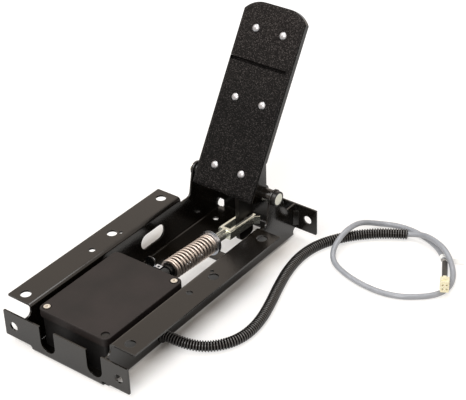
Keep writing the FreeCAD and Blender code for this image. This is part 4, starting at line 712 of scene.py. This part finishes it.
# Stage
def backdrop_finish(name, colour, footprint):
    """Pale paper: under and beside the part it takes shadows, and away from it the camera and
    reflections see plain white. The footprint is the half width and half length of the shaded
    floor, about a middle that lies SHADE_SHIFT to the left of the tray's."""
    material = bpy.data.materials.new(name)
    material.use_nodes = True
    tree = material.node_tree
    tree.nodes.clear()
    rays = add(tree, "ShaderNodeLightPath").outputs
    seen = add(tree, "ShaderNodeMath", links={0: rays["Is Camera Ray"], 1: rays["Is Glossy Ray"]},
               operation="MAXIMUM")
    place = add(tree, "ShaderNodeTexCoord").outputs["Object"]
    moved = add(tree, "ShaderNodeVectorMath", {1: (SHADE_SHIFT, 0.0, 0.0)}, {0: place}, operation="ADD")
    side = add(tree, "ShaderNodeVectorMath", links={0: moved.outputs["Vector"]}, operation="ABSOLUTE")
    past = add(tree, "ShaderNodeVectorMath", {1: footprint}, {0: side.outputs["Vector"]},
               operation="SUBTRACT")
    outside = add(tree, "ShaderNodeVectorMath", links={0: past.outputs["Vector"]}, operation="MAXIMUM")
    away = add(tree, "ShaderNodeVectorMath", links={0: outside.outputs["Vector"]}, operation="LENGTH")
    steps = [(distance, (share, share, share, 1.0)) for distance, share in FLOOR_GLOW]
    plain = graded(tree, away.outputs["Value"], steps)
    share = add(tree, "ShaderNodeMath", links={0: seen.outputs["Value"], 1: plain}, operation="MULTIPLY")
    paper = add(tree, "ShaderNodeBsdfDiffuse", {"Color": linear(colour)})
    white = add(tree, "ShaderNodeMath", {1: FLOOR_WHITE_SEEN, 2: FLOOR_WHITE}, {0: rays["Is Camera Ray"]},
                operation="MULTIPLY_ADD")
    glow = add(tree, "ShaderNodeEmission", {"Color": linear("#ffffff")},
               {"Strength": white.outputs["Value"]})
    links = {0: share.outputs["Value"], 1: paper.outputs["BSDF"], 2: glow.outputs["Emission"]}
    mixed = add(tree, "ShaderNodeMixShader", links=links)
    add(tree, "ShaderNodeOutputMaterial", links={"Surface": mixed.outputs["Shader"]})
    return material


def floor():
    """Square of paper just below the part's underside."""
    half = FLOOR_HALF
    mesh = bpy.data.meshes.new("floor")
    corners = [(-half, -half, 0), (half, -half, 0), (half, half, 0), (-half, half, 0)]
    mesh.from_pydata([Vector(c) for c in corners], [], [(0, 1, 2, 3)])
    tray_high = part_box("base_tray")[1]
    footprint = (tray_high.x - SHADE_INSET, tray_high.y - SHADE_INSET, 1.0)
    mesh.materials.append(backdrop_finish("pale_studio_paper", "#f4efe9", footprint))
    sheet = bpy.data.objects.new("floor", mesh)
    sheet.location.z = -FLOOR_DROP
    SCENE.collection.objects.link(sheet)


def softbox(name, place, width, power):
    """Square area light, aimed at the lit point."""
    light = bpy.data.lights.new(name, "AREA")
    light.shape = "SQUARE"
    light.size = width
    light.energy = power
    lamp = bpy.data.objects.new(name, light)
    lamp.location = place
    lamp.rotation_euler = (LIT_POINT - Vector(place)).to_track_quat("-Z", "Y").to_euler()
    SCENE.collection.objects.link(lamp)


def room():
    """Pale room: dim on matt surfaces, white in reflections and behind the floor."""
    world = bpy.data.worlds.new("studio_world")
    SCENE.world = world
    world.use_nodes = True
    tree = world.node_tree
    tree.nodes.clear()
    rays = add(tree, "ShaderNodeLightPath").outputs
    values = {"To Min": ROOM_ON_MATT, "To Max": ROOM_ON_GLOSS}
    lit = add(tree, "ShaderNodeMapRange", values, {"Value": rays["Is Glossy Ray"]})
    strength = add(tree, "ShaderNodeMath", links={0: rays["Is Camera Ray"], 1: lit.outputs["Result"]},
                   operation="MAXIMUM")
    colours = {"Color1": linear("#fff1e4"), "Color2": linear("#ffffff")}
    colour = add(tree, "ShaderNodeMixRGB", colours, {"Fac": rays["Is Camera Ray"]})
    sky = add(tree, "ShaderNodeBackground",
              links={"Color": colour.outputs["Color"], "Strength": strength.outputs["Value"]})
    add(tree, "ShaderNodeOutputWorld", links={"Surface": sky.outputs["Background"]})


def studio():
    """Floor, softboxes and room, shown without a film look."""
    floor()
    for name, (place, width, power) in SOFTBOXES.items():
        softbox(name, place, width, power)
    room()
    SCENE.view_settings.view_transform = "Standard"


def camera():
    """Camera at the photograph's viewing angle, with its slight roll."""
    data = bpy.data.cameras.new("photo_camera")
    data.sensor_width = SENSOR_WIDTH
    data.lens = SENSOR_WIDTH * FOCAL_PIXELS / IMAGE_WIDTH
    data.clip_end = CAMERA_REACH
    level_right = Vector((math.cos(CAMERA_TURN), math.sin(CAMERA_TURN), 0.0))
    back = Vector((math.sin(CAMERA_TURN) * math.cos(CAMERA_TILT),
                   -math.cos(CAMERA_TURN) * math.cos(CAMERA_TILT), math.sin(CAMERA_TILT)))
    level_up = back.cross(level_right)
    cosine = math.cos(CAMERA_ROLL)
    sine = math.sin(CAMERA_ROLL)
    right = level_right * cosine + level_up * sine
    up = level_up * cosine - level_right * sine
    viewer = bpy.data.objects.new("photo_camera", data)
    viewer.matrix_world = frame_matrix(right, up, back, CAMERA_PLACE)
    SCENE.collection.objects.link(viewer)
    SCENE.camera = viewer


camera()
dress_nodes()
conduit()
cable()
springs()
pad_rivets()
studio()
